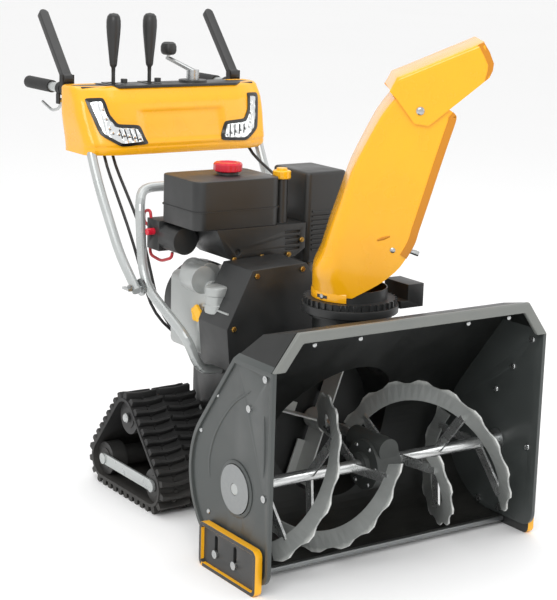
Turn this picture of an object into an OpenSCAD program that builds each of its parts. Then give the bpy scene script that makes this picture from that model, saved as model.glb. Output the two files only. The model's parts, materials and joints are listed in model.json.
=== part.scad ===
// Two-stage snow blower on rubber tracks: a wide auger housing in front, an impeller behind it that
// throws the snow up a turning chute, an engine on a tracked frame, and handles with a console.
// x is to the right seen from the front, y runs to the rear, z is up, and the ground is z = 0.

/* [Auger housing] */
// Width over both side plates
intake_w = 760; // [620:5:920]
// Height of the housing's top front edge above the ground
top_z = 579; // [560:1:700]
// Radius of the auger ribbons
auger_r = 176; // [150:1:190]
// Space between the ribbons and the sheet
auger_gap = 9; // [5:1:14]
// Height of the lowest ribbon edge above the ground
ground_gap = 31; // [20:1:45]
// Distance from the housing's front plane to the auger axis
auger_y = 138; // [120:1:150]
// Thickness of the housing sheet
sheet = 3; // [2:0.5:5]
// Width of each side plate's folded rim
rim_w = 9; // [7:1:14]
// Width of the bevelled top corners
bevel_w = 61; // [30:1:90]
// Height of the bevelled top corners
bevel_h = 81; // [40:1:110]
// Height of the front rail
rail_h = 24; // [16:1:32]

/* [Auger and impeller] */
// Radius of the auger shaft tube
shaft_r = 14; // [11:0.5:18]
// Radial width of a ribbon
ribbon_w = 48; // [30:1:60]
// Advance of a ribbon in one turn
ribbon_pitch = 460; // [380:5:520]
// Radius of the impeller blades
fan_r = 158; // [130:1:161]
// Space between the blades and the drum
fan_gap = 7; // [4:1:12]
// Depth of the drum behind the auger housing
drum_depth = 72; // [60:1:100]
// Height of the worm shaft above the auger shaft
worm_rise = 43; // [38:0.5:50]
// Radius of the impeller shaft
fan_shaft_r = 10; // [8:0.5:13]

/* [Chute] */
// Inner radius of the chute neck
neck_r = 84; // [70:1:88]
// Height of the neck's top flange
neck_top = 525; // [515:1:560]
// Half the width of the chute
chute_hw = 90; // [87:1:95]
// Wall of the chute and the deflector
chute_wall = 3; // [2:0.5:5]
// Direction of the throw at rest, from straight ahead towards the right
chute_turn = 56; // [-95:1:95]

/* [Tracks] */
// Distance from the middle to a track's outer edge
track_out = 335; // [300:1:360]
// Width of a track
track_w = 186; // [150:1:190]
// Radius of the track round its wheels, over the lugs
track_r = 66; // [60:1:80]
// Height of the drive sprocket's axis above the ground
sprocket_z = 205; // [180:1:225]
// Distance between the two ground wheels
wheelbase = 246; // [220:1:300]
// Height of a lug
lug_h = 16; // [10:1:20]
// Thickness of the belt under the lugs
belt_t = 8; // [6:1:10]
// Lugs on each track
lug_count = 34; // [24:1:38]
// Radius of the drive axle
axle_r = 12.5; // [10:0.5:15]

/* [Handles and console] */
// Distance from the middle to each handle tube
handle_x = 257; // [240:1:262]
// Radius of the handle tubes
tube_r = 12.5; // [10:0.5:14]
// Length of a rubber grip
grip_l = 140; // [110:1:150]
// Height of the console's top panel
panel_z = 985; // [970:1:1150]
// Half the width of the console
console_hw = 285; // [280:1:300]
// Length of a clutch lever
clutch_l = 222; // [180:1:230]

/* [Skid shoes] */
// Height of a skid shoe
skid_h = 105; // [95:1:120]
// Length of a skid shoe
skid_l = 230; // [200:1:240]
// Thickness of a skid shoe over its rim
skid_t = 17.7; // [14:0.1:24]

/* [Hidden] */
$fn = 64;
run_gap = 0.05;
part_gap = 0.3;
yellow = "#FBBF16";
steel_grey = "#575B5A";
black = "#2C2C2B";
silver = "#C4C7C3";
shell_ri = auger_r + auger_gap;
shell_ro = shell_ri + sheet;
auger_z = auger_r + ground_gap;
shell_hw = intake_w / 2 - rim_w;
slope_a = 38;
top_drop = 24;
bevel_z = top_z - bevel_h;
rail_y = 8;
rail_out = 4;
lip_y = auger_y - 33;
plate_flange = 3;
plate_bottom = auger_z - shell_ro + 5;
plate_corner = 35;
plate_rim = 10;
fan_z = auger_z + worm_rise;
drum_ri = fan_r + fan_gap;
drum_ro = drum_ri + sheet;
drum_plate = 4;
drum_back = auger_y + shell_ri + drum_depth;
frame_y = drum_back + drum_plate;
neck_ro = neck_r + sheet;
chute_x = 36;
chute_y = drum_back - 92;
ring_z = neck_top + 4;
ring_h = 18;
gear_z = ring_z + ring_h + part_gap;
collar_z = gear_z + 14;
grip_end = frame_y + 1011;
grip_z = panel_z - 17;
mid_y = (auger_y - auger_r + grip_end) / 2;
frame_hw = 112;
frame_top = 366;
frame_bottom = 130;
frame_wall = 4;
frame_len = 361;
engine_y = frame_y + 201;
crank_x = -75;
crank_z = frame_top + 106;
sprocket_y = frame_y + 321;
front_idler_y = sprocket_y - 128;
rear_idler_y = front_idler_y + wheelbase;
idler_z = track_r;
belt_ro = track_r - lug_h;
belt_ri = belt_ro - belt_t;
wheel_r = belt_ri - part_gap;
track_x = track_out - track_w / 2;
tank_top = 800;
console_y = frame_y + 607;
lever_pivot_z = panel_z - 32;
skid_y = 20;
skid_in = intake_w / 2 + part_gap;
skid_bolts = [[113, 42], [190, 42]];
skid_travel = 35;
plate_bolts = [[35, bevel_z - 20], [95, bevel_z - 99], [30, auger_z + 10]];
pivot_s = 135;
pivot_z = 1008;
hood_gap = 6;

// ---------- helpers ----------

// Puts the origin on the ground under the middle of the machine's length.
module place() translate([0, -mid_y, 0]) children();

// Extrudes a (y, z) outline along x, centred on x = at.
module along_x(w, at = 0) translate([at - w / 2, 0, 0]) rotate([90, 0, 90]) linear_extrude(w) children();

// Extrudes an (x, z) outline along y, from y = at.
module along_y(l, at = 0) translate([0, at + l, 0]) rotate([90, 0, 0]) linear_extrude(l) children();

// Cylinders along x, centred, and along y, from the given point.
module x_cyl(r, w) rotate([0, 90, 0]) cylinder(r = r, h = w, center = true);
module y_cyl(r, l) rotate([-90, 0, 0]) cylinder(r = r, h = l);

// A rectangle with round corners, its lower left corner at the origin.
module round_rect(w, h, r) {
    translate([r, 0]) square([w - 2 * r, h]);
    translate([0, r]) square([w, h - 2 * r]);
    for (u = [r, w - r], v = [r, h - r]) translate([u, v]) circle(r);
}

function unit(v) = v / norm(v);

// A path whose inner corners become short curves that start a distance c from the corner.
function corner(a, b, d, c) = let (
    s = b + unit(a - b) * min(c, 0.45 * norm(a - b)),
    e = b + unit(d - b) * min(c, 0.45 * norm(d - b)))
    [for (t = [0 : 0.25 : 1]) (1 - t) * (1 - t) * s + 2 * t * (1 - t) * b + t * t * e];
function rounded(p, c) = [p[0],
    for (i = [1 : len(p) - 2]) each corner(p[i - 1], p[i], p[i + 1], c), p[len(p) - 1]];

function tangent(p, i) = i == 0 ? unit(p[1] - p[0])
    : i == len(p) - 1 ? unit(p[i] - p[i - 1])
    : unit(unit(p[i] - p[i - 1]) + unit(p[i + 1] - p[i]));

// Splits each four-sided face into two triangles.
function halves(q) = [[q[0], q[1], q[2]], [q[0], q[2], q[3]]];

// A round bar swept along a path that never runs along ref.
module sweep(p, r, ref = [1, 0, 0], sides = 12) {
    last = len(p) - 1;
    points = [for (i = [0 : last]) let (t = tangent(p, i), a = unit(cross(ref, t)), b = cross(t, a))
        for (k = [0 : sides - 1]) p[i] + r * (cos(360 * k / sides) * a + sin(360 * k / sides) * b)];
    walls = [for (i = [0 : last - 1], k = [0 : sides - 1]) let (j = (k + 1) % sides, q = i * sides)
        each halves([q + k, q + sides + k, q + sides + j, q + j])];
    polyhedron(points, concat([[for (k = [0 : sides - 1]) k]], walls,
        [[for (k = [sides - 1 : -1 : 0]) last * sides + k]]));
}

module mirrored() {
    children();
    mirror([1, 0, 0]) children();
}

// ---------- auger housing ----------

// y of the sloping back at height z, for a sheet surface at radius r from the auger axis.
function slope_y(r, z) = auger_y + (r - (z - auger_z) * sin(slope_a)) / cos(slope_a);

// Section of the housing, inset by d from its outer surface, open towards y0.
module housing_2d(d, y0 = 0) {
    r = shell_ro - d;
    back_z = top_z - top_drop - d;
    polygon(concat([[y0, auger_z], [y0, top_z - d], [slope_y(r, back_z), back_z]],
        [for (a = [slope_a : -slope_a / 8 : -180]) [auger_y + r * cos(a), auger_z + r * sin(a)]]));
}

// Front outline of the housing with its bevelled corners, inset by d, cut off at x = +-half.
module outline_2d(d, half) {
    n = [bevel_h, bevel_w] / norm([bevel_h, bevel_w]);
    c = n[0] * intake_w / 2 + n[1] * bevel_z - d;
    side_z = (c - n[0] * half) / n[1];
    top_x = (c - n[1] * (top_z - d)) / n[0];
    polygon([[half, -10], [half, side_z], [top_x, top_z - d], [-top_x, top_z - d], [-half, side_z],
        [-half, -10]]);
}

module housing_shell() place() color("#2A2C2B") difference() {
    intersection() {
        along_x(2 * shell_hw) housing_2d(0);
        along_y(600, rail_y) outline_2d(0, shell_hw);
    }
    intersection() {
        along_x(2 * shell_hw + 2) housing_2d(sheet, -1);
        along_y(700, -10) outline_2d(sheet, shell_hw + 1);
    }
    translate([-shell_hw - 1, -200, -20]) cube([2 * shell_hw + 2, 200 + lip_y, auger_z + 20]);
    translate([0, auger_y, fan_z]) y_cyl(drum_ro, 300);
    translate([chute_x, chute_y, fan_z]) cylinder(r = neck_ro, h = 300);
}

// Outline of a side plate, inset by d.
module plate_2d(d) {
    r = shell_ro + plate_flange - d;
    k = plate_corner;
    intersection() {
        translate([d, plate_bottom + d]) square([800, 800]);
        union() {
            translate([auger_y, auger_z]) circle(r);
            translate([k, plate_bottom + k]) circle(k - d);
            polygon([[d, plate_bottom + k], [k, plate_bottom + k], [k, plate_bottom + d],
                [auger_y, plate_bottom + d], [auger_y, auger_z],
                [auger_y + r * cos(slope_a), auger_z + r * sin(slope_a)],
                [slope_y(r, bevel_z + 30), bevel_z + 30], [d, bevel_z + 30]]);
        }
    }
}

module side_plate() {
    x1 = intake_w / 2;
    x0 = x1 - rim_w;
    difference() {
        intersection() {
            along_x(rim_w, x1 - rim_w / 2) plate_2d(0);
            along_y(700, -50) outline_2d(0, x1);
        }
        along_x(rim_w, x1 - rim_w / 2 + sheet) intersection() {
            plate_2d(plate_rim);
            square([800, bevel_z - plate_rim]);
        }
        translate([x0 - 1, -1, bevel_z]) cube([rim_w + 2, rail_y + 1, 60]);
        translate([x1, auger_y, auger_z]) x_cyl(shaft_r + 12, 60);
        for (b = skid_bolts) translate([x1, b[0], b[1]]) x_cyl(5, 60);
        for (b = plate_bolts) translate([x1, b[0], b[1]]) x_cyl(4, 60);
    }
}

module side_plate_right() place() color(steel_grey) side_plate();
module side_plate_left() place() color(steel_grey) mirror([1, 0, 0]) side_plate();

module front_rail() place() color("#7F8382") intersection() {
    along_y(rail_y + rail_out, -rail_out) difference() {
        outline_2d(0, intake_w / 2);
        outline_2d(rail_h, intake_w / 2 - 3);
    }
    translate([-intake_w, -50, bevel_z]) cube([2 * intake_w, 100, 300]);
}

module scraper_bar() place() color("#4A4D4C") along_x(2 * shell_hw) difference() {
    translate([lip_y - 8, 12]) square([62, 22]);
    translate([auger_y, auger_z]) circle(shell_ro, $fn = 256);
}

module skid() {
    w = skid_t;
    translate([skid_in, skid_y, 0]) difference() {
        rotate([90, 0, 90]) linear_extrude(w) round_rect(skid_l, skid_h, 16);
        translate([w - 8, 0, 0]) rotate([90, 0, 90]) linear_extrude(w) translate([9, 9])
            round_rect(skid_l - 18, skid_h - 18, 9);
        for (b = skid_bolts) translate([-1, b[0] - skid_y, b[1]]) rotate([90, 0, 90])
            linear_extrude(w + 2) translate([-6.5, -6.5]) round_rect(13, skid_travel + 14, 6.4);
    }
}

module skid_right() place() color(black) skid();
module skid_left() place() color(black) mirror([1, 0, 0]) skid();

module bearings() place() color("#8B8E8C") {
    mirrored() translate([intake_w / 2 - rim_w, auger_y, auger_z]) difference() {
        union() {
            translate([rim_w / 2 + sheet / 2, 0, 0]) x_cyl(55, rim_w - sheet);
            x_cyl(shaft_r + 12, 2 * sheet);
        }
        x_cyl(shaft_r + run_gap, 60);
    }
    translate([0, drum_back, fan_z]) difference() {
        y_cyl(22, drum_plate + frame_wall + 6);
        translate([0, -1, 0]) y_cyl(fan_shaft_r + run_gap, 40);
    }
}

// ---------- auger, gearbox and impeller ----------

gearbox_hw = 34;
gearbox_r = 58;
worm_r = 11;

module auger_gearbox() place() color("#3C3E3D") translate([0, auger_y, auger_z]) difference() {
    union() {
        x_cyl(gearbox_r, 2 * gearbox_hw);
        x_cyl(30, 2 * gearbox_hw + 24);
        translate([0, -52, worm_rise]) y_cyl(27, 127);
    }
    x_cyl(gearbox_r - 8, 2 * gearbox_hw - 14);
    x_cyl(shaft_r + run_gap, 200);
    translate([0, -44, worm_rise]) y_cyl(worm_r + 5, 100);
    translate([0, 0, worm_rise]) y_cyl(fan_shaft_r + run_gap, 100);
}

module auger_shaft() place() color("#D5D6D4") translate([0, auger_y, auger_z]) {
    x_cyl(shaft_r, intake_w - 6);
    mirrored() for (s = ribbon_spokes) spoke(s[0], s[1]);
}

// A flat bar welded from the shaft to a ribbon, at angle a from the top towards the front.
module spoke(start, a) {
    x = ribbon_x(start, a);
    rotate([a, 0, 0]) translate([x - 3, -11, shaft_r - 4]) cube([6, 22, auger_r - ribbon_w - shaft_r + 14]);
}

// Each ribbon: x at the top of the auger, first angle and last angle.
ribbons = [[131, -75, 150], [-42, 72, 285]];
ribbon_spokes = [[131, -60], [131, 40], [131, 138], [-42, 85], [-42, 175], [-42, 272]];
width_share = (shell_hw - 36) / 335;
function ribbon_x(start, a) = (start + ribbon_pitch * a / 360) * width_share;

// A ribbon's corners at angle a: inner and outer edge on both faces, with a toothed outer edge.
ribbon_t = 5;
ribbon_step = 6;
tooth = 8;
function on_drum(x, r, a) = [x, -r * sin(a), r * cos(a)];
function ribbon_ring(start, a, r) = let (x = ribbon_x(start, a), ri = auger_r - ribbon_w) [
    on_drum(x, ri, a), on_drum(x, r, a), on_drum(x + ribbon_t, r, a), on_drum(x + ribbon_t, ri, a)];

module ribbon(start, a0, a1) {
    n = round((a1 - a0) / ribbon_step);
    points = [for (i = [0 : n]) let (a = a0 + (a1 - a0) * i / n,
        r = i % 4 < 2 ? auger_r : auger_r - tooth) each ribbon_ring(start, a, r)];
    sides = [for (i = [0 : n - 1], j = [0 : 3]) let (k = (j + 1) % 4)
        each halves([4 * i + j, 4 * i + k, 4 * i + 4 + k, 4 * i + 4 + j])];
    polyhedron(points, concat([[3, 2, 1, 0]], sides, [[4 * n, 4 * n + 1, 4 * n + 2, 4 * n + 3]]));
}

module auger_flights() place() color("#7B7E7C") translate([0, auger_y, auger_z])
    mirrored() for (s = ribbons) ribbon(s[0], s[1], s[2]);

module worm_wheel() place() color("#B08D3C") translate([0, auger_y, auger_z]) difference() {
    x_cyl(worm_rise - worm_r - 2, 22);
    x_cyl(shaft_r, 40);
}

fan_front = auger_y + shell_ri + 7;

module impeller_fan() place() color("#8E918F") translate([0, fan_front, fan_z]) difference() {
    union() {
        y_cyl(24, drum_back - fan_front - 6);
        for (i = [0 : 3]) rotate([0, 20 + 90 * i, 0]) {
            translate([15, 0, -2]) cube([fan_r - 15, drum_back - fan_front - 8, 4]);
            translate([60, drum_back - fan_front - 12, -24]) cube([fan_r - 66, 4, 26]);
        }
    }
    translate([0, -1, 0]) y_cyl(fan_shaft_r, 100);
}

pulley_y = frame_y + 80;

module impeller_shaft() place() color("#B9BBB9") {
    translate([0, auger_y - 30, fan_z]) y_cyl(fan_shaft_r, pulley_y + 34 - auger_y + 30);
    translate([0, auger_y - 26, fan_z]) y_cyl(worm_r, 52);
}

// A grooved pulley along y, with its bore.
module pulley(r, bore) difference() {
    y_cyl(r, 24);
    translate([0, 7, 0]) rotate([-90, 0, 0]) difference() {
        cylinder(r = r + 1, h = 10);
        cylinder(r = r - 9, h = 10);
    }
    translate([0, -1, 0]) y_cyl(bore, 40);
}

module impeller_pulley() place() color("#6F7271") translate([0, pulley_y, fan_z]) pulley(74, fan_shaft_r);

module engine_pulley() place() color("#6F7271") translate([crank_x, 0, crank_z]) {
    translate([0, pulley_y, 0]) pulley(38, 12.5);
    translate([0, pulley_y - 4, 0]) y_cyl(12.5, engine_y - pulley_y + 24);
}

// Loop of belt that runs in both grooves.
module belt_2d(extra) {
    a = [0, fan_z];
    b = [crank_x, crank_z];
    ra = 65 + extra;
    rb = 29 + extra;
    d = norm(b - a);
    dir = atan2(b[1] - a[1], b[0] - a[0]);
    t = acos((ra - rb) / d);
    translate(a) circle(ra);
    translate(b) circle(rb);
    polygon([for (p = [[a, ra, dir - t], [b, rb, dir - t], [b, rb, dir + t], [a, ra, dir + t]])
        p[0] + p[1] * [cos(p[2]), sin(p[2])]]);
}

module drive_belt() place() color("#1D1D1D") along_y(8, pulley_y + 8) difference() {
    belt_2d(8);
    belt_2d(0.3);
}

module impeller_drum() place() color("#2A2C2B") difference() {
    union() {
        translate([0, auger_y, fan_z]) y_cyl(drum_ro, frame_y - auger_y);
        translate([chute_x, chute_y, fan_z]) cylinder(r = neck_ro, h = neck_top - fan_z);
        translate([chute_x, chute_y, neck_top - 5]) cylinder(r = neck_ro + 14, h = 5);
    }
    translate([0, auger_y - 1, fan_z]) y_cyl(drum_ri, drum_back - auger_y + 1);
    translate([chute_x, chute_y, fan_z]) cylinder(r = neck_r, h = 400);
    translate([0, drum_back - 1, fan_z]) y_cyl(22, 20);
    along_x(2 * drum_ro + 20) housing_2d(sheet, -1);
}

// ---------- chute ----------

gear_box_x = 132;

module chute_base_ring() place() color(black) translate([chute_x, chute_y, 0]) {
    difference() {
        union() {
            translate([0, 0, neck_top]) cylinder(r = neck_ro + 14, h = ring_z - neck_top);
            translate([0, 0, ring_z]) cylinder(r = neck_ro + 27, h = ring_h);
        }
        translate([0, 0, neck_top - 1]) cylinder(r = neck_r, h = 100);
    }
    translate([gear_box_x - 22, -52, ring_z]) difference() {
        cube([68, 92, lift - ring_z - 2]);
        translate([-1, -1, ring_h]) cube([22, 94, 60]);
        translate([34, 70, 40]) y_cyl(5, 40);
    }
}

module chute_ring() place() color(black) translate([chute_x, chute_y, 0]) difference() {
    union() {
        translate([0, 0, gear_z]) cylinder(r = neck_ro + 18, h = 14);
        for (i = [0 : 35]) rotate(i * 10) translate([neck_ro + 14, -3, gear_z]) cube([9, 6, 14]);
        translate([0, 0, collar_z]) cylinder(r = neck_ro, h = lift - collar_z);
    }
    translate([0, 0, gear_z - 1]) cylinder(r = neck_r, h = 100);
}

// Side outline of the chute as (forward, up), with its back edge moved in by d. Below shelf_z the
// chute is a half pipe round the collar.
lift = collar_z + 26;
shelf_z = 636;
function chute_back(d) = [[-chute_hw + d, shelf_z], [-72 + d, 670], [-52 + d, 740], [-12 + d, 863],
    [25 + d, 945], [80 + d, 1035]];
chute_front = [[197, 1014], [218, 998], [136, 704], [114, 662], [92, shelf_z]];
low_front = [[-25, collar_z], [0, collar_z + 14], [63, 611], [92, shelf_z + chute_wall]];

// Turns a (forward, up) shape to the chute's direction at rest, on the chute's own axis.
module to_chute() translate([chute_x, chute_y, 0]) rotate(chute_turn - 90) children();

// Extrudes a (forward, up) outline across the chute.
module across(hw) rotate([90, 0, 0]) translate([0, 0, -hw]) linear_extrude(2 * hw) children();

module chute_tube() place() color(yellow) to_chute() {
    inside = chute_hw - chute_wall;
    difference() {
        union() {
            across(chute_hw) polygon(concat(chute_back(0), chute_front));
            translate([pivot_s, 0, pivot_z]) rotate([90, 0, 0])
                cylinder(r = 6, h = 2 * (chute_hw + hood_gap + 8), center = true);
        }
        translate([0, 0, chute_wall]) across(inside) polygon(concat(chute_back(chute_wall),
            [[80 + chute_wall, 1200], [400, 1200], [400, shelf_z]]));
        cylinder(r = inside, h = shelf_z + chute_wall);
        translate([0, 0, shelf_z - 1]) across(inside) square([400, chute_wall + 2]);
    }
    intersection() {
        difference() {
            translate([0, 0, collar_z]) cylinder(r = chute_hw, h = shelf_z + chute_wall - collar_z);
            translate([0, 0, collar_z - 1]) cylinder(r = inside, h = 100);
        }
        across(chute_hw) polygon([[-chute_hw, collar_z], low_front[0], low_front[1],
            [0, shelf_z + chute_wall], [-chute_hw, shelf_z + chute_wall]]);
    }
    difference() {
        across(chute_hw) polygon([[-5, collar_z + 14], low_front[1], low_front[2], low_front[3],
            [-5, shelf_z + chute_wall]]);
        across(inside) square([200, 800]);
        translate([-10, 0, 500]) across(inside) square([200, 300]);
    }
}

module deflector() place() color(yellow) to_chute() {
    hw = chute_hw + hood_gap;
    hood = [[66, 1052], [80, 1080], [269, 1164], [293, 1117], [285, 1086], [155, 975], [123, 980],
        [83, 1032]];
    difference() {
        across(hw + chute_wall) polygon(hood);
        across(hw) polygon([[30, 1040], [82 + chute_wall, 1080 - chute_wall], [268, 1163 - chute_wall],
            [400, 1120], [400, 900], [80, 900]]);
        translate([pivot_s, 0, pivot_z]) rotate([90, 0, 0])
            cylinder(r = 6 + run_gap, h = 400, center = true);
    }
}

// ---------- tractor frame, engine and covers ----------

module tractor_frame() place() color(black) difference() {
    translate([-frame_hw, frame_y, frame_bottom]) cube([2 * frame_hw, frame_len, frame_top - frame_bottom]);
    translate([-frame_hw + frame_wall, frame_y + frame_wall, frame_bottom - 1])
        cube([2 * (frame_hw - frame_wall), frame_len - 2 * frame_wall, frame_top - frame_bottom - frame_wall + 1]);
    translate([0, frame_y - 1, fan_z]) y_cyl(22, 20);
    translate([-frame_hw + 12, frame_y + 14, frame_top - 20]) cube([2 * frame_hw - 24, 110, 40]);
    translate([0, sprocket_y, sprocket_z]) x_cyl(axle_r + run_gap, 400);
}

module belt_cover() place() color(black) {
    outer = [[-190, frame_top], [-200, 470], [-132, 606], [22, 612], [100, 500], [108, frame_top]];
    inner = [[-186, frame_top - 1], [-196, 471], [-130, 602], [20, 608], [96, 499], [104, frame_top - 1]];
    difference() {
        along_y(130, frame_y + 66) polygon(outer);
        along_y(130, frame_y + 70) polygon(inner);
    }
}

module engine_block() place() color("#9A9D9A") translate([0, engine_y, 0]) difference() {
    union() {
        translate([0, 0, frame_top]) along_y(170) translate([-175, 0]) round_rect(230, 190, 20);
        translate([crank_x, 0, crank_z]) y_cyl(70, 170);
        translate([-178, 10, 560]) y_cyl(34, 60);
        translate([-150, 30, 560]) y_cyl(36, 80);
        for (i = [0 : 5]) translate([55, 14, 440 + 22 * i]) cube([57, 140, 12]);
        translate([55, 30, 436]) cube([30, 110, 140]);
    }
    translate([crank_x, -1, crank_z]) y_cyl(12.5 + run_gap, 60);
    translate([-300, -10, 596]) cube([500, 300, 60]);
}

cap_x = -62;
cap_y = engine_y + 95;
oil_x = 62;
oil_y = engine_y + 40;
oil_z = 790;

// The oil filler tube stands on the shroud, between the tank and the heater box.
module engine_shroud() place() color(black) {
    translate([0, engine_y, 0]) difference() {
        along_y(175) polygon([[-150, 681], [-120, 622], [-90, 598], [80, 598], [112, 618], [112, 681]]);
        translate([-88, -1, 622]) y_cyl(8, 8);
        for (i = [0 : 3]) translate([50, -1, 616 + 14 * i]) cube([44, 7, 6]);
    }
    translate([oil_x, oil_y, 675]) cylinder(r = 16, h = oil_z - 675);
}

module fuel_tank() place() color(black) translate([0, engine_y, 0]) difference() {
    union() {
        translate([-205, 0, 681]) linear_extrude(tank_top - 681) round_rect(243, 182, 28);
        translate([cap_x, cap_y - engine_y, tank_top]) cylinder(r = 27, h = 8);
    }
    translate([cap_x, cap_y - engine_y, tank_top - 12]) cylinder(r = 20, h = 40);
}

module fuel_cap() place() color("#D3182F") translate([cap_x, cap_y, tank_top + 8 + part_gap]) {
    cylinder(r = 36, h = 22);
    translate([0, 0, -14]) cylinder(r = 19, h = 14);
}

module heater_box() place() color(black) translate([113, engine_y, 578])
    linear_extrude(228) round_rect(123, 160, 14);

module oil_cap() place() color(yellow) translate([oil_x, oil_y, oil_z + part_gap]) cylinder(r = 23, h = 26);

module muffler() place() color("#6A6C6B") translate([112, engine_y + 20, 436]) {
    translate([14, 0, 0]) linear_extrude(140) round_rect(66, 130, 20);
    translate([7, 60, 70]) x_cyl(16, 14);
}

module recoil_starter() place() color(black) translate([crank_x, engine_y + 170, crank_z]) difference() {
    union() {
        y_cyl(96, 40);
        translate([0, 40, 0]) y_cyl(70, 18);
    }
    translate([60, -1, 40]) y_cyl(9, 100);
    for (i = [0 : 11]) rotate([0, 30 * i, 0]) translate([28, 52, -3]) cube([32, 20, 6]);
}

module recoil_handle() place() color(black) translate([crank_x + 60, engine_y + 228 + part_gap, crank_z + 40]) {
    translate([-38, 0, -11]) cube([76, 24, 22]);
    translate([0, -54, 0]) y_cyl(3, 58);
}

starter_x = -178;
starter_z = 640;

module electric_starter() place() color(black) translate([starter_x, frame_y, starter_z]) difference() {
    union() {
        translate([0, 299, 0]) y_cyl(34, 78);
        translate([-30, 377, -36]) cube([66, 60, 76]);
        translate([20, 330, -12]) cube([38, 30, 20]);
    }
    translate([-31, 405, 10]) x_cyl(9, 40);
}

module starter_button() place() color("#B5202C") translate([starter_x - 37, frame_y + 405, starter_z + 10])
    x_cyl(8.7, 24);

// Routes of the two leads, from the switch box back to the motor and down to the engine.
lead_x = starter_x - 26;
low_x = starter_x - 10;
upper_lead = [[lead_x, frame_y + 437, starter_z + 20], [lead_x, frame_y + 460, starter_z + 24],
    [lead_x, frame_y + 462, starter_z + 52], [lead_x, frame_y + 430, starter_z + 60],
    [lead_x, frame_y + 425, starter_z + 40]];
lower_lead = [[low_x, frame_y + 437, starter_z - 20], [low_x, frame_y + 458, starter_z - 26],
    [low_x, frame_y + 455, starter_z - 60], [low_x, frame_y + 400, starter_z - 66],
    [low_x, frame_y + 350, starter_z - 50], [low_x, frame_y + 345, starter_z - 35]];

module starter_leads() place() color("#B3252F") {
    sweep(rounded(upper_lead, 14), 4, sides = 8);
    sweep(rounded(lower_lead, 14), 4, sides = 8);
}

// ---------- handles and console ----------

clamp_t = 4;
loop_x = handle_x - 2 * tube_r - clamp_t;
clamp_at = [frame_y + 404, 511];
handle_path = [[handle_x, frame_y + 398, 503], [handle_x, frame_y + 488, 579],
    [handle_x, frame_y + 598, 729], [handle_x, frame_y + 652, 826],
    [handle_x, frame_y + 678, grip_z - 40], [handle_x, frame_y + 715, grip_z],
    [handle_x, grip_end, grip_z]];
loop_half = [[frame_hw, frame_y + 232, 326], [172, frame_y + 232, 330],
    [202, frame_y + 245, 410], [loop_x, frame_y + 392, 506], [loop_x, frame_y + 425, 560],
    [loop_x, frame_y + 441, 715], [loop_x - 30, frame_y + 481, 748]];

module handle_tubes() place() color(silver) mirrored() sweep(rounded(handle_path, 45), tube_r, sides = 16);

module frame_loop() place() color(silver) sweep(rounded(concat(loop_half,
    [for (i = [len(loop_half) - 1 : -1 : 0]) [-loop_half[i][0], loop_half[i][1], loop_half[i][2]]]), 35),
    tube_r, [0, 1, 0], 16);

clutch_pivot = [handle_x, console_y + 178, grip_z + 28];
clutch_rest = 48.5;
clutch_hub = [13, 26];
trigger_pivot = [handle_x, grip_end - 200, grip_z - 32];
trigger_hub = [7, 20];
ear_t = 4;

// Collar on a handle tube with two ears and a pin, clear of the hub that turns between them.
module lever_bracket(pivot, hub, pin, ear_z, ear_h) difference() {
    union() {
        translate([handle_x, pivot[1] - 10, grip_z]) y_cyl(tube_r + 5, 20);
        for (k = [-1, 1]) translate([pivot[0] + k * (hub[1] / 2 + part_gap + ear_t / 2), pivot[1], ear_z])
            translate([-ear_t / 2, -9, 0]) cube([ear_t, 18, ear_h]);
        translate(pivot) x_cyl(pin, hub[1] + 2 * (part_gap + ear_t));
    }
    translate([handle_x, pivot[1] - 11, grip_z]) y_cyl(tube_r, 22);
    translate(pivot) difference() {
        x_cyl(hub[0] + part_gap, hub[1] + 2 * part_gap);
        x_cyl(pin, hub[1] + 10);
    }
}

module grips() place() color(black) mirrored() {
    translate([handle_x, grip_end - grip_l, grip_z]) difference() {
        y_cyl(tube_r + 4, grip_l);
        translate([0, -1, 0]) y_cyl(tube_r, grip_l + 2);
    }
    lever_bracket(clutch_pivot, clutch_hub, 4, grip_z, 38);
    lever_bracket(trigger_pivot, trigger_hub, 3, grip_z - 40, 27);
}

// Console section as (y, z), inset by d; it is open below and behind.
module console_2d(d) {
    y = console_y;
    h = panel_z;
    polygon([[y + 8 + d, h - 173], [y + d, h - 145], [y + 34 + d, h - 37], [y + 58 + d, h - 6 - d],
        [y + 90, h - d], [y + 162 - d, h - d], [y + 162 - d, h - 110], [y + 110, h - 173]]);
}

// Console outline as (x, y), inset by d.
module console_plan(d) {
    w = console_hw - d;
    y = console_y + d;
    polygon([[-w, y + 85], [-w + 14, y + 32], [-185, y], [185, y], [w - 14, y + 32], [w, y + 85],
        [w, y + 163 - 2 * d], [-w, y + 163 - 2 * d]]);
}

module console_solid(d) intersection() {
    along_x(2 * console_hw + 10) console_2d(d);
    translate([0, 0, panel_z - 200]) linear_extrude(300) console_plan(d);
}

// One headlight seen from the front, on the right side.
light_2d = [[262, -32], [222, -30], [214, -70], [195, -96], [132, -100], [114, -143], [190, -147],
    [238, -118]];
panel_2d = [[-180, 72], [-165, 54], [190, 54], [215, 74], [205, 152], [-190, 152]];

module console_cover() place() color(yellow) difference() {
    console_solid(0);
    intersection() {
        console_solid(3);
        translate([-400, 0, panel_z - 400]) cube([800, 4000, 397]);
    }
    translate([-console_hw + 12, console_y + 12, panel_z - 300]) cube([2 * console_hw - 24, 90, 150]);
    translate([-console_hw + 12, console_y + 100, panel_z - 300]) cube([2 * console_hw - 24, 100, 292]);
    mirrored() along_y(120, console_y - 20) translate([0, panel_z]) polygon(light_2d);
    translate([0, console_y, panel_z - 20]) linear_extrude(40) polygon(panel_2d);
}

module headlights() place() color("#B9BBBB") intersection() {
    difference() {
        console_solid(0);
        console_solid(12);
    }
    mirrored() along_y(120, console_y - 20) translate([0, panel_z]) polygon(light_2d);
}

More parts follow.
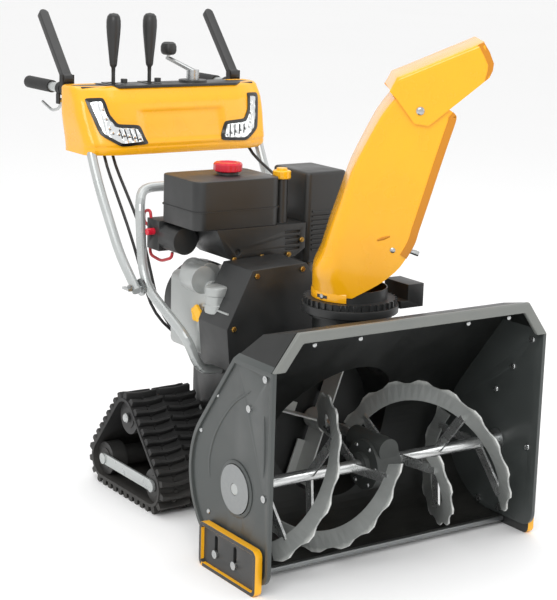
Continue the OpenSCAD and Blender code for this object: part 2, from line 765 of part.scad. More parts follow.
speed_x = -152;
hood_lever_x = -44;
lever_y = console_y + 118;
crank_hub = [85, console_y + 109];

module console_panel() place() color(black) difference() {
    union() {
        translate([0, console_y, panel_z - 6]) linear_extrude(6) polygon(panel_2d);
        translate([crank_hub[0], crank_hub[1], panel_z]) cylinder(r = 38, h = 6);
        for (x = [-108, -6]) translate([x, console_y + 140, panel_z]) cylinder(r = 9, h = 10);
    }
    for (x = [speed_x, hood_lever_x]) translate([x - 8, lever_y - 27, panel_z - 20]) cube([16, 54, 60]);
    translate([crank_hub[0], crank_hub[1], panel_z - 20]) cylinder(r = 8 + run_gap, h = 60);
}

// A lever with a tapered grip that turns about x at its lower end.
module hand_lever() {
    x_cyl(9, 10);
    cylinder(r = 5, h = 85);
    translate([0, 0, 78]) rotate_extrude() polygon([[0, 0], [9, 0], [13, 30], [19, 95], [19, 120],
        [14, 134], [0, 138]]);
}

module speed_lever() place() color(black) translate([speed_x, lever_y, lever_pivot_z]) hand_lever();
module deflector_lever() place() color(black)
    translate([hood_lever_x, lever_y, lever_pivot_z]) hand_lever();

crank_reach = [-39, 64];
crank_tip = [crank_hub[0] + crank_reach[0], crank_hub[1] + crank_reach[1]];
crank_z0 = panel_z + 6 + part_gap;

module crank() place() color("#8B8E8C") {
    translate([crank_hub[0], crank_hub[1], panel_z - 30]) cylinder(r = 8, h = 36 + part_gap);
    translate([crank_hub[0], crank_hub[1], crank_z0]) cylinder(r = 17, h = 26);
    hull() {
        translate([crank_hub[0], crank_hub[1], crank_z0 + 20]) cylinder(r = 9, h = 6, $fn = 32);
        translate([crank_tip[0], crank_tip[1], crank_z0 + 50]) cylinder(r = 8, h = 6, $fn = 32);
    }
    translate([crank_tip[0], crank_tip[1], crank_z0 + 52]) cylinder(r = 5, h = 44);
}

module crank_knob() place() color(black) translate([crank_tip[0], crank_tip[1], crank_z0 + 62]) difference() {
    cylinder(r = 22, h = 34);
    translate([0, 0, -1]) cylinder(r = 5 + run_gap, h = 60);
}

// Long paddle that stands up at rest and is pressed down onto the grip.
module clutch_lever() translate(clutch_pivot) rotate([clutch_rest, 0, 0]) difference() {
    union() {
        x_cyl(clutch_hub[0], clutch_hub[1]);
        translate([-13, 0, -9]) cube([26, clutch_l - 13, 18]);
        translate([0, clutch_l - 13, 0]) cylinder(r = 13, h = 18, center = true);
    }
    x_cyl(4 + run_gap, 40);
}

module clutch_lever_right() place() color(black) clutch_lever();
module clutch_lever_left() place() color(black) mirror([1, 0, 0]) clutch_lever();

module trigger() translate(trigger_pivot) difference() {
    union() {
        x_cyl(trigger_hub[0], trigger_hub[1]);
        sweep(rounded([[0, 0, 0], [0, 22, -24], [0, 60, -32], [0, 118, -14]], 12), 4, sides = 8);
    }
    x_cyl(3 + run_gap, 40);
}

module trigger_right() place() color(silver) trigger();
module trigger_left() place() color(silver) mirror([1, 0, 0]) trigger();

// ---------- tracks ----------

sprocket_at = [sprocket_y, sprocket_z];
front_at = [front_idler_y, idler_z];
rear_at = [rear_idler_y, idler_z];

// Outline round the three wheels at distance r from their axes.
module track_2d(r) {
    corners = [sprocket_at, front_at, rear_at];
    polygon(corners);
    for (i = [0 : 2]) {
        a = corners[i];
        b = corners[(i + 1) % 3];
        u = (b - a) / norm(b - a);
        n = [u[1], -u[0]];
        translate(a) circle(r);
        polygon([a, b, b + r * n, a + r * n]);
    }
}

// Point and direction at distance s along the belt's outer face.
edges = [[front_at, rear_at], [rear_at, sprocket_at], [sprocket_at, front_at]];
function edge_dir(i) = let (e = edges[i % 3], d = e[1] - e[0]) atan2(d[1], d[0]);
function turn_at(i) = let (t = edge_dir(i + 1) - edge_dir(i)) t < 0 ? t + 360 : t;
function edge_len(i) = norm(edges[i][1] - edges[i][0]);
function arc_len(i) = turn_at(i) * PI / 180 * belt_ro;
track_len = edge_len(0) + edge_len(1) + edge_len(2) + 2 * PI * belt_ro;
function lug_at(s, i = 0) =
    s < edge_len(i) ? let (a = edge_dir(i), e = edges[i])
        [e[0] + s * [cos(a), sin(a)] + belt_ro * [sin(a), -cos(a)], a]
    : s < edge_len(i) + arc_len(i) ? let (a = edge_dir(i) + (s - edge_len(i)) / belt_ro * 180 / PI)
        [edges[i][1] + belt_ro * [sin(a), -cos(a)], a]
    : lug_at(s - edge_len(i) - arc_len(i), i + 1);

module track_belt() {
    along_x(track_w, track_x) difference() {
        track_2d(belt_ro);
        track_2d(belt_ri);
    }
    for (i = [0 : lug_count - 1]) {
        p = lug_at((i + 0.5) * track_len / lug_count);
        translate([track_x, p[0][0], p[0][1]]) rotate([p[1], 0, 0])
            translate([-track_w / 2, -6, -lug_h]) cube([track_w, 12, lug_h + 1]);
    }
}

module track_belts() place() color("#1A1A1A") mirrored() track_belt();

hub_in = track_x - track_w / 2 - 14;
bar_out = track_out - 13;
pin_r = 9;

module track_frame() {
    along_x(6, hub_in + 3) polygon([[front_idler_y - 18, idler_z - 18], [rear_idler_y + 18, idler_z - 18],
        [rear_idler_y + 18, idler_z + 16], [sprocket_y + 30, sprocket_z + 24],
        [sprocket_y - 30, sprocket_z + 24], [front_idler_y - 18, idler_z + 16]]);
    along_x(5, bar_out + 2.5) translate([front_idler_y, idler_z - 14]) square([wheelbase, 28]);
    for (y = [front_idler_y, rear_idler_y]) {
        translate([(hub_in + bar_out) / 2 + 2.5, y, idler_z]) x_cyl(pin_r, bar_out - hub_in + 5);
        translate([bar_out + 5, y, idler_z]) x_cyl(14, 8);
    }
}

module track_frames() place() color("#8E918F") difference() {
    mirrored() track_frame();
    translate([0, sprocket_y, sprocket_z]) x_cyl(axle_r + run_gap, 2 * track_out);
}

wheel_in = hub_in + 6 + part_gap;
wheel_out = bar_out - part_gap;

// A ribbed wheel that turns on a bore of radius r.
module wheel(r) difference() {
    union() {
        for (x = [wheel_in + 22, wheel_out - 22]) translate([x, 0, 0]) x_cyl(wheel_r, 40);
        translate([(wheel_in + wheel_out) / 2, 0, 0]) x_cyl(26, wheel_out - wheel_in);
    }
    translate([track_x, 0, 0]) x_cyl(r, 2 * track_w);
}

module idler(y) translate([0, y, idler_z]) wheel(pin_r + run_gap);

module idler_front_right() place() color(black) idler(front_idler_y);
module idler_front_left() place() color(black) mirror([1, 0, 0]) idler(front_idler_y);
module idler_rear_right() place() color(black) idler(rear_idler_y);
module idler_rear_left() place() color(black) mirror([1, 0, 0]) idler(rear_idler_y);

// Drive sprocket with its half axle, which runs in the frame's side wall.
module sprocket() translate([0, sprocket_y, sprocket_z]) {
    wheel(axle_r - 1);
    translate([(wheel_out + frame_hw - 20) / 2, 0, 0]) x_cyl(axle_r, wheel_out - frame_hw + 20);
}

module sprocket_right() place() color(black) sprocket();
module sprocket_left() place() color(black) mirror([1, 0, 0]) sprocket();

// ---------- cables and fasteners ----------

// Routes of the cables: auger clutch, gear shift, and chute turning.
clutch_cable = [[-190, console_y + 85, panel_z - 60], [-190, console_y + 55, panel_z - 180],
    [-188, frame_y + 505, 640], [-165, frame_y + 438, 420], [-92, frame_y + 400, 336],
    [-92, frame_y + frame_len, 336]];
shift_cable = [[-214, console_y + 85, panel_z - 60], [-214, console_y + 55, panel_z - 180],
    [-208, frame_y + 520, 620], [-175, frame_y + 460, 420], [-70, frame_y + 400, 320],
    [-70, frame_y + frame_len, 320]];
chute_cable = [[214, console_y + 85, panel_z - 60], [226, console_y + 55, panel_z - 180],
    [262, frame_y + 430, 690], [262, frame_y + 180, 610],
    [chute_x + gear_box_x + 60, chute_y + 120, ring_z + 42],
    [chute_x + gear_box_x + 12, chute_y + 40, ring_z + 40]];

module control_cables() place() color("#1C1C1C") {
    for (c = [clutch_cable, shift_cable, chute_cable]) sweep(rounded(c, 60), 4, sides = 8);
}

module hex_head(r, h) cylinder(r = r, h = h, $fn = 6);

module fasteners() place() color("#A7AAA8") {
    mirrored() for (b = skid_bolts) translate([intake_w / 2, b[0], b[1]]) rotate([0, 90, 0]) {
        translate([0, 0, -rim_w - 6]) hex_head(9, 6);
        translate([0, 0, -rim_w]) cylinder(r = 5, h = rim_w + skid_t - 8 + 2 * part_gap);
        translate([0, 0, skid_t - 8 + 2 * part_gap]) cylinder(r = 9.5, h = 5);
    }
    mirrored() for (b = plate_bolts) translate([intake_w / 2 - rim_w, b[0], b[1]]) rotate([0, 90, 0]) {
        translate([0, 0, -5]) hex_head(7, 5);
        cylinder(r = 4, h = sheet);
        translate([0, 0, sheet]) cylinder(r = 8, h = 3);
    }
    mirrored() translate([handle_x, clamp_at[0], clamp_at[1]]) {
        translate([-tube_r - clamp_t / 2, 0, 0]) x_cyl(22, clamp_t);
        translate([-tube_r - clamp_t / 2, 0, 0]) x_cyl(4, 4 * tube_r + 2 * clamp_t + 16);
        translate([tube_r + 5, 0, 0]) x_cyl(9, 6);
        translate([tube_r + 8, -16, -3]) cube([10, 32, 6]);
    }
}

housing_shell();
side_plate_left();
side_plate_right();
front_rail();
scraper_bar();
impeller_drum();
chute_base_ring();
auger_gearbox();
bearings();
tractor_frame();
belt_cover();
engine_block();
engine_shroud();
fuel_tank();
heater_box();
muffler();
recoil_starter();
electric_starter();
starter_leads();
frame_loop();
handle_tubes();
console_cover();
console_panel();
headlights();
grips();
track_frames();
track_belts();
control_cables();
fasteners();
drive_belt();
skid_left();
skid_right();
auger_shaft();
auger_flights();
worm_wheel();
impeller_fan();
impeller_shaft();
impeller_pulley();
engine_pulley();
chute_ring();
chute_tube();
deflector();
crank();
crank_knob();
speed_lever();
deflector_lever();
clutch_lever_left();
clutch_lever_right();
trigger_left();
trigger_right();
sprocket_left();
sprocket_right();
idler_front_left();
idler_rear_left();
idler_front_right();
idler_rear_right();
fuel_cap();
oil_cap();
starter_button();
recoil_handle();
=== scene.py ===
# %% [markdown]
# # A snow blower on rubber tracks
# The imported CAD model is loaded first. It gives every working piece its true size and place, so this
# lesson only adds what a drawing leaves out: moulded curves, soft edges, small hardware and finishes.

# %% Load the frame
import json
import math
import bmesh
import bpy
from mathutils import Matrix, Vector, noise


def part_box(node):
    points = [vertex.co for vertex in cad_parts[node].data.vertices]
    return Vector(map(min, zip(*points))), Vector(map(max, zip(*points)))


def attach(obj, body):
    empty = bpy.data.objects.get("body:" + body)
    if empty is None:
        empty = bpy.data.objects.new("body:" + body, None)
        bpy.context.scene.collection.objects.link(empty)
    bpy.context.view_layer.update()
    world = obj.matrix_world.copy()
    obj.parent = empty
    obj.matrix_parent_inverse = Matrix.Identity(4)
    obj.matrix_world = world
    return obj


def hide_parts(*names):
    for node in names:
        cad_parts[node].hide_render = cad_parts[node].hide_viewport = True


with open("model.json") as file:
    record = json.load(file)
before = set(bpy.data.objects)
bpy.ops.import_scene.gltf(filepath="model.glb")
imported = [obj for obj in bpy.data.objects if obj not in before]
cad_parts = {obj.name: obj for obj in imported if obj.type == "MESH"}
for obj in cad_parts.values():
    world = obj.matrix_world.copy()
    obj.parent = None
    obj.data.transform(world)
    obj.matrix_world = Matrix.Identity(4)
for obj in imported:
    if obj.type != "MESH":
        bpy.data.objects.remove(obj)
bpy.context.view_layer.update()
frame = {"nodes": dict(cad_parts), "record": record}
nodes = frame["nodes"]
body_of_node = {n: b for b, ns in frame["record"]["behaviour"]["bodies"].items() for n in ns}
slot_of_node = {s["node"]: s["material_slot"] for s in frame["record"]["subparts"]}

# %% [markdown]
# The drawing counts millimetres from the front of the auger housing, and the frame counts metres from
# the middle of the machine. One helper turns the first into the second, so that sizes read like a drawing.

# %% From the drawing to the frame
MIDDLE = 686.0
AUGER_Y, AUGER_Z = 138, 207
CHUTE_X, CHUTE_Y = 36, 303
CHUTE_HALF = 90
HOOD_HALF = 98.6


def at(x, y, z):
    return Vector((x / 1000, (y - MIDDLE) / 1000, z / 1000))


# %% [markdown]
# The camera stands in front of the machine on its left, a little above the console, with a long lens,
# as in a catalogue.

# %% Camera
camera_data = bpy.data.cameras.new("camera")
camera = bpy.data.objects.new("camera", camera_data)
bpy.context.scene.collection.objects.link(camera)
right = Vector((0.83034, -0.55653, 0.02842)).normalized()
back = Vector((-0.54824, -0.80672, 0.22053)).normalized()
up = back.cross(right).normalized()
right = up.cross(back)
camera.matrix_world = Matrix((
    (right.x, up.x, back.x, -2.20335), (right.y, up.y, back.y, -3.38078),
    (right.z, up.z, back.z, 1.3916), (0, 0, 0, 1)))
camera_data.sensor_width = 36
camera_data.lens = 98.24
bpy.context.scene.camera = camera
print("camera:", [round(v, 3) for v in camera.location])

# %% [markdown]
# Finishes start from one small function that adds a node with its settings and links. Colours are
# written as on a colour chart, and one function turns them to the linear values that Blender mixes.


# %% Colour and node helpers
def linear(code):
    parts = [int(code[i:i + 2], 16) / 255 for i in (1, 3, 5)]
    return [c / 12.92 if c <= 0.04045 else ((c + 0.055) / 1.055) ** 2.4 for c in parts] + [1.0]


def add(tree, kind, sets=(), **inputs):
    node = tree.nodes.new(kind)
    for key, value in dict(sets).items():
        setattr(node, key, value)
    for key, value in inputs.items():
        socket = node.inputs[int(key[1:])] if key[0] == "i" and key[1:].isdigit() else \
            node.inputs[key.replace("_", " ")]
        if isinstance(value, bpy.types.NodeSocket):
            tree.links.new(value, socket)
        else:
            socket.default_value = value
    return node


# %% [markdown]
# Almost every surface here is one of three things: moulded plastic, powder coat or plated steel. Each
# has a base colour that drifts a little over a hand's width, a roughness with faint cloudy patches, and
# a fine skin: grain in a mould, orange peel in paint, drawn lines in metal. The one function below makes
# them all, and the sizes are in millimetres.


# %% The finish maker
def finish(name, colour, second, rough, metal=0.0, patch_mm=60, grain_mm=1.5, depth=0.1,
           coat=0.0, rough_swing=0.08, stretch=(1, 1, 1), dust=0.0):
    mat = bpy.data.materials.new(name)
    mat.use_nodes = True
    tree = mat.node_tree
    shader = tree.nodes["Principled BSDF"]
    place = add(tree, "ShaderNodeTexCoord").outputs["Object"]
    grown = add(tree, "ShaderNodeMapping", Vector=place, Scale=stretch).outputs[0]
    patches = add(tree, "ShaderNodeTexNoise", Vector=grown, Scale=1000 / patch_mm, Detail=4.0)
    grain = add(tree, "ShaderNodeTexNoise", Vector=grown, Scale=1000 / grain_mm, Detail=2.0)
    tint = add(tree, "ShaderNodeMix", {"data_type": "RGBA"}, i0=patches.outputs["Fac"],
               i6=linear(colour), i7=linear(second))
    colour_out = tint.outputs[2]
    if dust:
        low = add(tree, "ShaderNodeSeparateXYZ", Vector=place).outputs["Z"]
        fade = add(tree, "ShaderNodeMapRange", Value=low, i1=0.0, i2=0.16, i3=dust, i4=0.0)
        speck = add(tree, "ShaderNodeMath", {"operation": "MULTIPLY"}, i0=fade.outputs[0],
                    i1=patches.outputs["Fac"])
        colour_out = add(tree, "ShaderNodeMix", {"data_type": "RGBA"}, i0=speck.outputs[0],
                         i6=colour_out, i7=linear("#8A857C")).outputs[2]
    tree.links.new(colour_out, shader.inputs["Base Color"])
    swing = add(tree, "ShaderNodeMapRange", Value=patches.outputs["Fac"], i1=0.3, i2=0.7,
                i3=rough - rough_swing, i4=rough + rough_swing)
    tree.links.new(swing.outputs[0], shader.inputs["Roughness"])
    bump = add(tree, "ShaderNodeBump", Strength=depth, Distance=0.0004, Height=grain.outputs["Fac"])
    tree.links.new(bump.outputs[0], shader.inputs["Normal"])
    shader.inputs["Metallic"].default_value = metal
    shader.inputs["Coat Weight"].default_value = coat
    shader.inputs["Coat Roughness"].default_value = 0.08
    return mat


# %% [markdown]
# The finishes, named for what they are. The yellow is a glossy moulded plastic with a clear shine; the
# housing is powder coat, which has a fine orange peel; the tracks are rubber, dull and slightly dusty.

# %% Finishes
finishes = {
    "yellow_plastic": finish("glossy_yellow_abs", "#F9B408", "#F4AA06", 0.26, coat=0.35, grain_mm=4,
                             depth=0.03, rough_swing=0.04),
    "dark_housing_paint": finish("satin_black_powder_coat", "#0F1110", "#171918", 0.44, grain_mm=2.2,
                                 depth=0.18, dust=0.1),
    "grey_side_plate": finish("satin_grey_powder_coat", "#3E4241", "#474B4A", 0.4, grain_mm=2.2, depth=0.14),
    "rail_grey": finish("mid_grey_powder_coat", "#6A6E6C", "#777873", 0.36, grain_mm=2.2, depth=0.1),
    "bare_steel": finish("bare_rolled_steel", "#85888A", "#A0A2A1", 0.4, metal=0.9, stretch=(1, 8, 8)),
    "black_plastic": finish("grained_black_abs", "#232424", "#2C2D2D", 0.42, grain_mm=1.4, depth=0.25),
    "cast_gearbox": finish("painted_cast_iron", "#303231", "#474A48", 0.5, metal=0.3, grain_mm=3,
                           depth=0.5),
    "black_frame_paint": finish("black_powder_coat", "#1E1F1F", "#292A2A", 0.45, depth=0.15),
    "cast_aluminium": finish("die_cast_aluminium", "#A3A6A5", "#BDC0BE", 0.4, metal=0.55, grain_mm=2.5,
                             depth=0.35),
    "muffler_steel": finish("heat_dulled_steel", "#54504B", "#75726E", 0.5, metal=0.8, patch_mm=35),
    "red_lead": finish("red_cable_sheath", "#B3252F", "#C32A34", 0.38, grain_mm=3, depth=0.05),
    "silver_tube": finish("silver_powder_coat", "#AEB2B1", "#BFC2C1", 0.3, metal=0.45, depth=0.06),
    "headlight": finish("vacuum_plated_reflector", "#D5D8DA", "#F0F2F2", 0.14, metal=0.9, depth=0.03,
                        rough_swing=0.05),
    "rubber_grip": finish("soft_black_rubber", "#1C1C1C", "#262626", 0.66, depth=0.3),
    "track_rubber": finish("moulded_track_rubber", "#171717", "#232323", 0.62, grain_mm=2, depth=0.5,
                           dust=0.22),
    "cable_black": finish("black_cable_sheath", "#1A1A1A", "#242424", 0.45),
    "zinc_bolt": finish("zinc_plated_steel", "#A9ACAE", "#C5C6C4", 0.28, metal=0.95, patch_mm=12),
    "skid_plastic": finish("black_nylon", "#2D2E2E", "#383939", 0.45, depth=0.25),
    "zinc_shaft": finish("bright_zinc_tube", "#C9CBCC", "#E3E4E2", 0.24, metal=0.9, patch_mm=25,
                         stretch=(0.15, 1, 1)),
    "bronze": finish("worm_wheel_bronze", "#A8823A", "#BF9C55", 0.35, metal=0.9),
    "lever_plastic": finish("soft_touch_black_plastic", "#222222", "#2C2C2C", 0.4, depth=0.15),
    "wheel_plastic": finish("black_wheel_nylon", "#1F1F1F", "#2A2A2A", 0.5, depth=0.2, dust=0.15),
    "red_cap": finish("glossy_red_plastic", "#CF1630", "#DA2038", 0.3, coat=0.2, depth=0.04),
    "yellow_cap": finish("glossy_yellow_cap", "#FBBF16", "#F5B20F", 0.3, coat=0.2, depth=0.04),
}
lens_black = finish("dark_lamp_bezel", "#111212", "#181919", 0.22, coat=0.2, depth=0.03)
bronze_bolt = finish("yellow_chromate_bolt", "#9A7638", "#B48F4C", 0.35, metal=0.9, patch_mm=8)
# A darker yellow for edges on the chute and hood: painted shade of edges turned from the light.
painted_shade_yellow = finish("shaded_yellow_abs", "#CC8206", "#C27A05", 0.35, grain_mm=4, depth=0.03)
amber_trim = finish("yellow_skid_rim", "#F0AC12", "#F5B41C", 0.33, coat=0.15, depth=0.05)
print("finishes:", len(finishes) + 4)

# %% [markdown]
# The auger and fan are painted steel that works in grit and ice. The outer edge of every ribbon is painted
# paler as a painted highlight: the distance from the shaft is measured in the material and turns the colour pale
# past a radius.


# %% Auger paint with a painted edge highlight
def edge_highlight_paint(name, axis_y, axis_z, highlight_from, highlight_to):
    mat = finish(name, "#858886", "#959896", 0.42, metal=0.15, patch_mm=30, grain_mm=2, depth=0.2)
    tree = mat.node_tree
    shader = tree.nodes["Principled BSDF"]
    painted = shader.inputs["Base Color"].links[0].from_socket
    place = add(tree, "ShaderNodeTexCoord").outputs["Object"]
    moved = add(tree, "ShaderNodeMapping", Vector=place, Location=(0, -axis_y, -axis_z)).outputs[0]
    flat = add(tree, "ShaderNodeVectorMath", {"operation": "MULTIPLY"}, i0=moved, i1=(0, 1, 1)).outputs[0]
    radius = add(tree, "ShaderNodeVectorMath", {"operation": "LENGTH"}, i0=flat).outputs["Value"]
    edge_jitter = add(tree, "ShaderNodeTexNoise", Vector=place, Scale=110.0, Detail=5.0)
    spread = add(tree, "ShaderNodeMath", {"operation": "MULTIPLY_ADD"}, i0=edge_jitter.outputs["Fac"], i1=0.012,
                 i2=radius)
    edge_lightening = add(tree, "ShaderNodeMapRange", Value=spread.outputs[0], i1=highlight_from, i2=highlight_to)
    # The pale colour past the radius is a painted highlight on the ribbon edges.
    mixed = add(tree, "ShaderNodeMix", {"data_type": "RGBA"}, i0=edge_lightening.outputs[0], i6=painted,
                i7=linear("#C6C8C5"))
    tree.links.new(mixed.outputs[2], shader.inputs["Base Color"])
    return mat


auger_axis = at(0, AUGER_Y, AUGER_Z)
finishes["auger_paint"] = edge_highlight_paint("worn_auger_paint", auger_axis.y, auger_axis.z, 0.172, 0.183)

# %% [markdown]
# Every node of the drawing gets its finish now. Later cells hide some of them behind softer pieces.

# %% Paint the nodes
for name, obj in nodes.items():
    obj.data.materials.clear()
    obj.data.materials.append(finishes[slot_of_node[name]])

# %% [markdown]
# A new piece needs a name, a finish, a body to ride on and sometimes a node that it stands for. One
# function does all of that, so no piece is left behind.


def piece(name, mesh, body, slot, stands_for=(), material=None, smooth=35):
    obj = bpy.data.objects.new(name, mesh)
    bpy.context.scene.collection.objects.link(obj)
    if material is not None or not mesh.materials:
        mesh.materials.clear()
        mesh.materials.append(material or finishes[slot])
    if smooth:
        mesh.polygons.foreach_set("use_smooth", [True] * len(mesh.polygons))
        mesh.set_sharp_from_angle(angle=math.radians(smooth))
    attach(obj, body)
    if stands_for:
        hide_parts(*stands_for)
    return obj


def mesh_from(name, verts, faces):
    mesh = bpy.data.meshes.new(name)
    mesh.from_pydata([tuple(v) for v in verts], [], faces)
    bm = bmesh.new()
    bm.from_mesh(mesh)
    bmesh.ops.recalc_face_normals(bm, faces=bm.faces)
    bm.to_mesh(mesh)
    bm.free()
    return mesh


# %% [markdown]
# Sharp CAD edges look like card. A copy of the node is merged, its flat faces are joined again, and a
# small bevel rounds each edge by what a mould or a press would leave. The node itself stays untouched.


# %% Softened copies
def baked(obj):
    graph = bpy.context.evaluated_depsgraph_get()
    mesh = bpy.data.meshes.new_from_object(obj.evaluated_get(graph))
    mesh.name = obj.name
    return mesh


def softened(node, radius_mm, recolour=None):
    source = nodes[node]
    mesh = source.data.copy()
    bm = bmesh.new()
    bm.from_mesh(mesh)
    bmesh.ops.remove_doubles(bm, verts=bm.verts, dist=2e-5)
    bmesh.ops.dissolve_limit(bm, angle_limit=math.radians(0.6), verts=bm.verts, edges=bm.edges)
    bm.to_mesh(mesh)
    bm.free()
    temp = bpy.data.objects.new("temp", mesh)
    bpy.context.scene.collection.objects.link(temp)
    bevel = temp.modifiers.new("bevel", "BEVEL")
    bevel.width = radius_mm / 1000
    bevel.segments = 3
    bevel.limit_method = "ANGLE"
    bevel.angle_limit = math.radians(30)
    bevel.harden_normals = False
    bevel.miter_outer = "MITER_ARC"
    result = baked(temp)
    bpy.data.objects.remove(temp)
    if recolour:
        result.materials.clear()
        for mat in recolour[0]:
            result.materials.append(mat)
        for poly in result.polygons:
            poly.material_index = recolour[1](poly.center, poly.normal)
    return piece(node + "_soft", result, body_of_node[node], slot_of_node[node], (node,), smooth=40)


soft_edges = {
    "front_rail": 3.5, "fuel_tank": 13, "heater_box": 8, "belt_cover": 1.6, "engine_shroud": 5,
    "recoil_starter": 4, "recoil_handle": 6, "electric_starter": 3, "chute_base_ring": 3.5,
    "muffler": 5, "engine_block": 3.5, "scraper_bar": 1.5, "auger_gearbox": 3,
    "clutch_lever_left": 5, "clutch_lever_right": 5, "track_frames": 1.2,
    "side_plate_left": 2.2, "side_plate_right": 2.2, "tractor_frame": 1.5,
}
for node, radius in soft_edges.items():
    softened(node, radius)

# %% [markdown]
# ## Copies that repeat
# Bolts, lugs, grip rings and louvres are one shape many times over. A small Geometry Nodes tree sets a
# copy on every point of a mesh, turned by a vector stored on the point, then makes the result real and
# gives it its finish. The result is turned into a plain mesh, because the export drops instances.


# %% The copying tree
def copying_tree():
    tree = bpy.data.node_groups.new("copies_on_points", "GeometryNodeTree")
    tree.is_modifier = True
    face = tree.interface
    face.new_socket("Points", in_out="INPUT", socket_type="NodeSocketGeometry")
    face.new_socket("Shape", in_out="INPUT", socket_type="NodeSocketObject")
    face.new_socket("Size", in_out="INPUT", socket_type="NodeSocketFloat")
    face.new_socket("Finish", in_out="INPUT", socket_type="NodeSocketMaterial")
    face.new_socket("Copies", in_out="OUTPUT", socket_type="NodeSocketGeometry")
    start = add(tree, "NodeGroupInput")
    info = add(tree, "GeometryNodeObjectInfo", Object=start.outputs["Shape"])
    turn = add(tree, "GeometryNodeInputNamedAttribute", {"data_type": "FLOAT_VECTOR"}, Name="turn")
    spread = add(tree, "GeometryNodeInstanceOnPoints", Points=start.outputs["Points"],
                 Instance=info.outputs["Geometry"], Rotation=turn.outputs["Attribute"],
                 Scale=start.outputs["Size"])
    real = add(tree, "GeometryNodeRealizeInstances", Geometry=spread.outputs[0])
    done = add(tree, "GeometryNodeSetMaterial", Geometry=real.outputs[0], Material=start.outputs["Finish"])
    end = add(tree, "NodeGroupOutput")
    tree.links.new(done.outputs[0], end.inputs[0])
    return tree


copies = copying_tree()


def repeated(name, shape, places, body, slot, size=1.0, stands_for=(), material=None, smooth=35):
    """places holds (point, turn) pairs, the turn in radians about x, y and z."""
    points = bpy.data.meshes.new(name + "_points")
    points.from_pydata([tuple(p) for p, t in places], [], [])
    turns = points.attributes.new("turn", "FLOAT_VECTOR", "POINT")
    turns.data.foreach_set("vector", [c for p, t in places for c in t])
    seat = bpy.data.objects.new(name, points)
    form = bpy.data.objects.new("shape", shape)
    for obj in (seat, form):
        bpy.context.scene.collection.objects.link(obj)
    modifier = seat.modifiers.new("copies", "NODES")
    modifier.node_group = copies
    ids = {i.name: i.identifier for i in copies.interface.items_tree if i.in_out == "INPUT"}
    modifier[ids["Shape"]] = form
    modifier[ids["Size"]] = size
    modifier[ids["Finish"]] = material or finishes[slot]
    bpy.context.view_layer.update()
    result = baked(seat)
    bpy.data.objects.remove(seat)
    bpy.data.objects.remove(form)
    return piece(name, result, body, slot, stands_for, smooth=smooth)


# %% [markdown]
# Two building blocks make most custom pieces: a skin lofted through rings of points, and a round bar
# along a smooth path. Both close their ends.


# %% Lofts, tubes and rounded outlines
def loft(name, rings, close_ring=True, caps=True):
    n = len(rings[0])
    verts = [v for ring in rings for v in ring]
    faces = []
    for i in range(len(rings) - 1):
        for j in range(n if close_ring else n - 1):
            k = (j + 1) % n
            faces.append((i * n + j, i * n + k, (i + 1) * n + k, (i + 1) * n + j))
    if caps:
        faces.append(tuple(range(n)))
        faces.append(tuple((len(rings) - 1) * n + j for j in reversed(range(n))))
    return mesh_from(name, verts, faces)


def spline(points, steps):
    """Catmull-Rom through the points."""
    p = [Vector(q) for q in points]
    p = [2 * p[0] - p[1]] + p + [2 * p[-1] - p[-2]]
    out = []
    for i in range(1, len(p) - 2):
        for s in range(steps):
            t = s / steps
            a, b, c, d = p[i - 1:i + 3]
            out.append(0.5 * (2 * b + (c - a) * t + (2 * a - 5 * b + 4 * c - d) * t * t
                              + (3 * b - a - 3 * c + d) * t ** 3))
    return out + [p[-2]]


def tube(name, path, radii, sides=12):
    rings = []
    side = None
    for i, p in enumerate(path):
        t = (path[min(i + 1, len(path) - 1)] - path[max(i - 1, 0)]).normalized()
        if side is None:
            side = t.orthogonal().normalized()
        side = (side - t * side.dot(t)).normalized()
        over = t.cross(side)
        r = radii[i] if isinstance(radii, (list, tuple)) else radii
        rings.append([p + (side * math.cos(2 * math.pi * k / sides)
                           + over * math.sin(2 * math.pi * k / sides)) * r for k in range(sides)])
    return loft(name, rings)


def turned(name, profile, sides=24, lobes=0, lobe_depth=0.0, close=True):
    """A shape turned about z from (radius, height) pairs in mm, with optional lobes round it."""
    rings = []
    for r, z in profile:
        ring = []
        for k in range(sides):
            a = 2 * math.pi * k / sides
            grow = r * (1 + lobe_depth * math.cos(lobes * a)) if lobes else r
            ring.append(Vector((grow * math.cos(a), grow * math.sin(a), z)) / 1000)
        rings.append(ring)
    return loft(name, rings, caps=close)


def moved(mesh, place, turn=(0, 0, 0)):
    from_turn = Matrix.Rotation(turn[2], 4, "Z") @ Matrix.Rotation(turn[1], 4, "Y") @ \
        Matrix.Rotation(turn[0], 4, "X")
    mesh.transform(Matrix.Translation(place) @ from_turn)
    return mesh


# %% [markdown]
# ## The chute
# The chute is one deep moulding: a back that leans forward and two side walls, open in front. Its cross
# section is a U with round rear corners, and two shallow ribs run up each wall to stiffen it. Rings of
# the U are lofted through stations that follow the drawing's front and back edges.

# %% Chute stations
TURN = math.radians(-34)


def chute_at(forward, across, height):
    x = CHUTE_X + forward * math.cos(TURN) - across * math.sin(TURN)
    y = CHUTE_Y + forward * math.sin(TURN) + across * math.cos(TURN)
    return at(x, y, height)


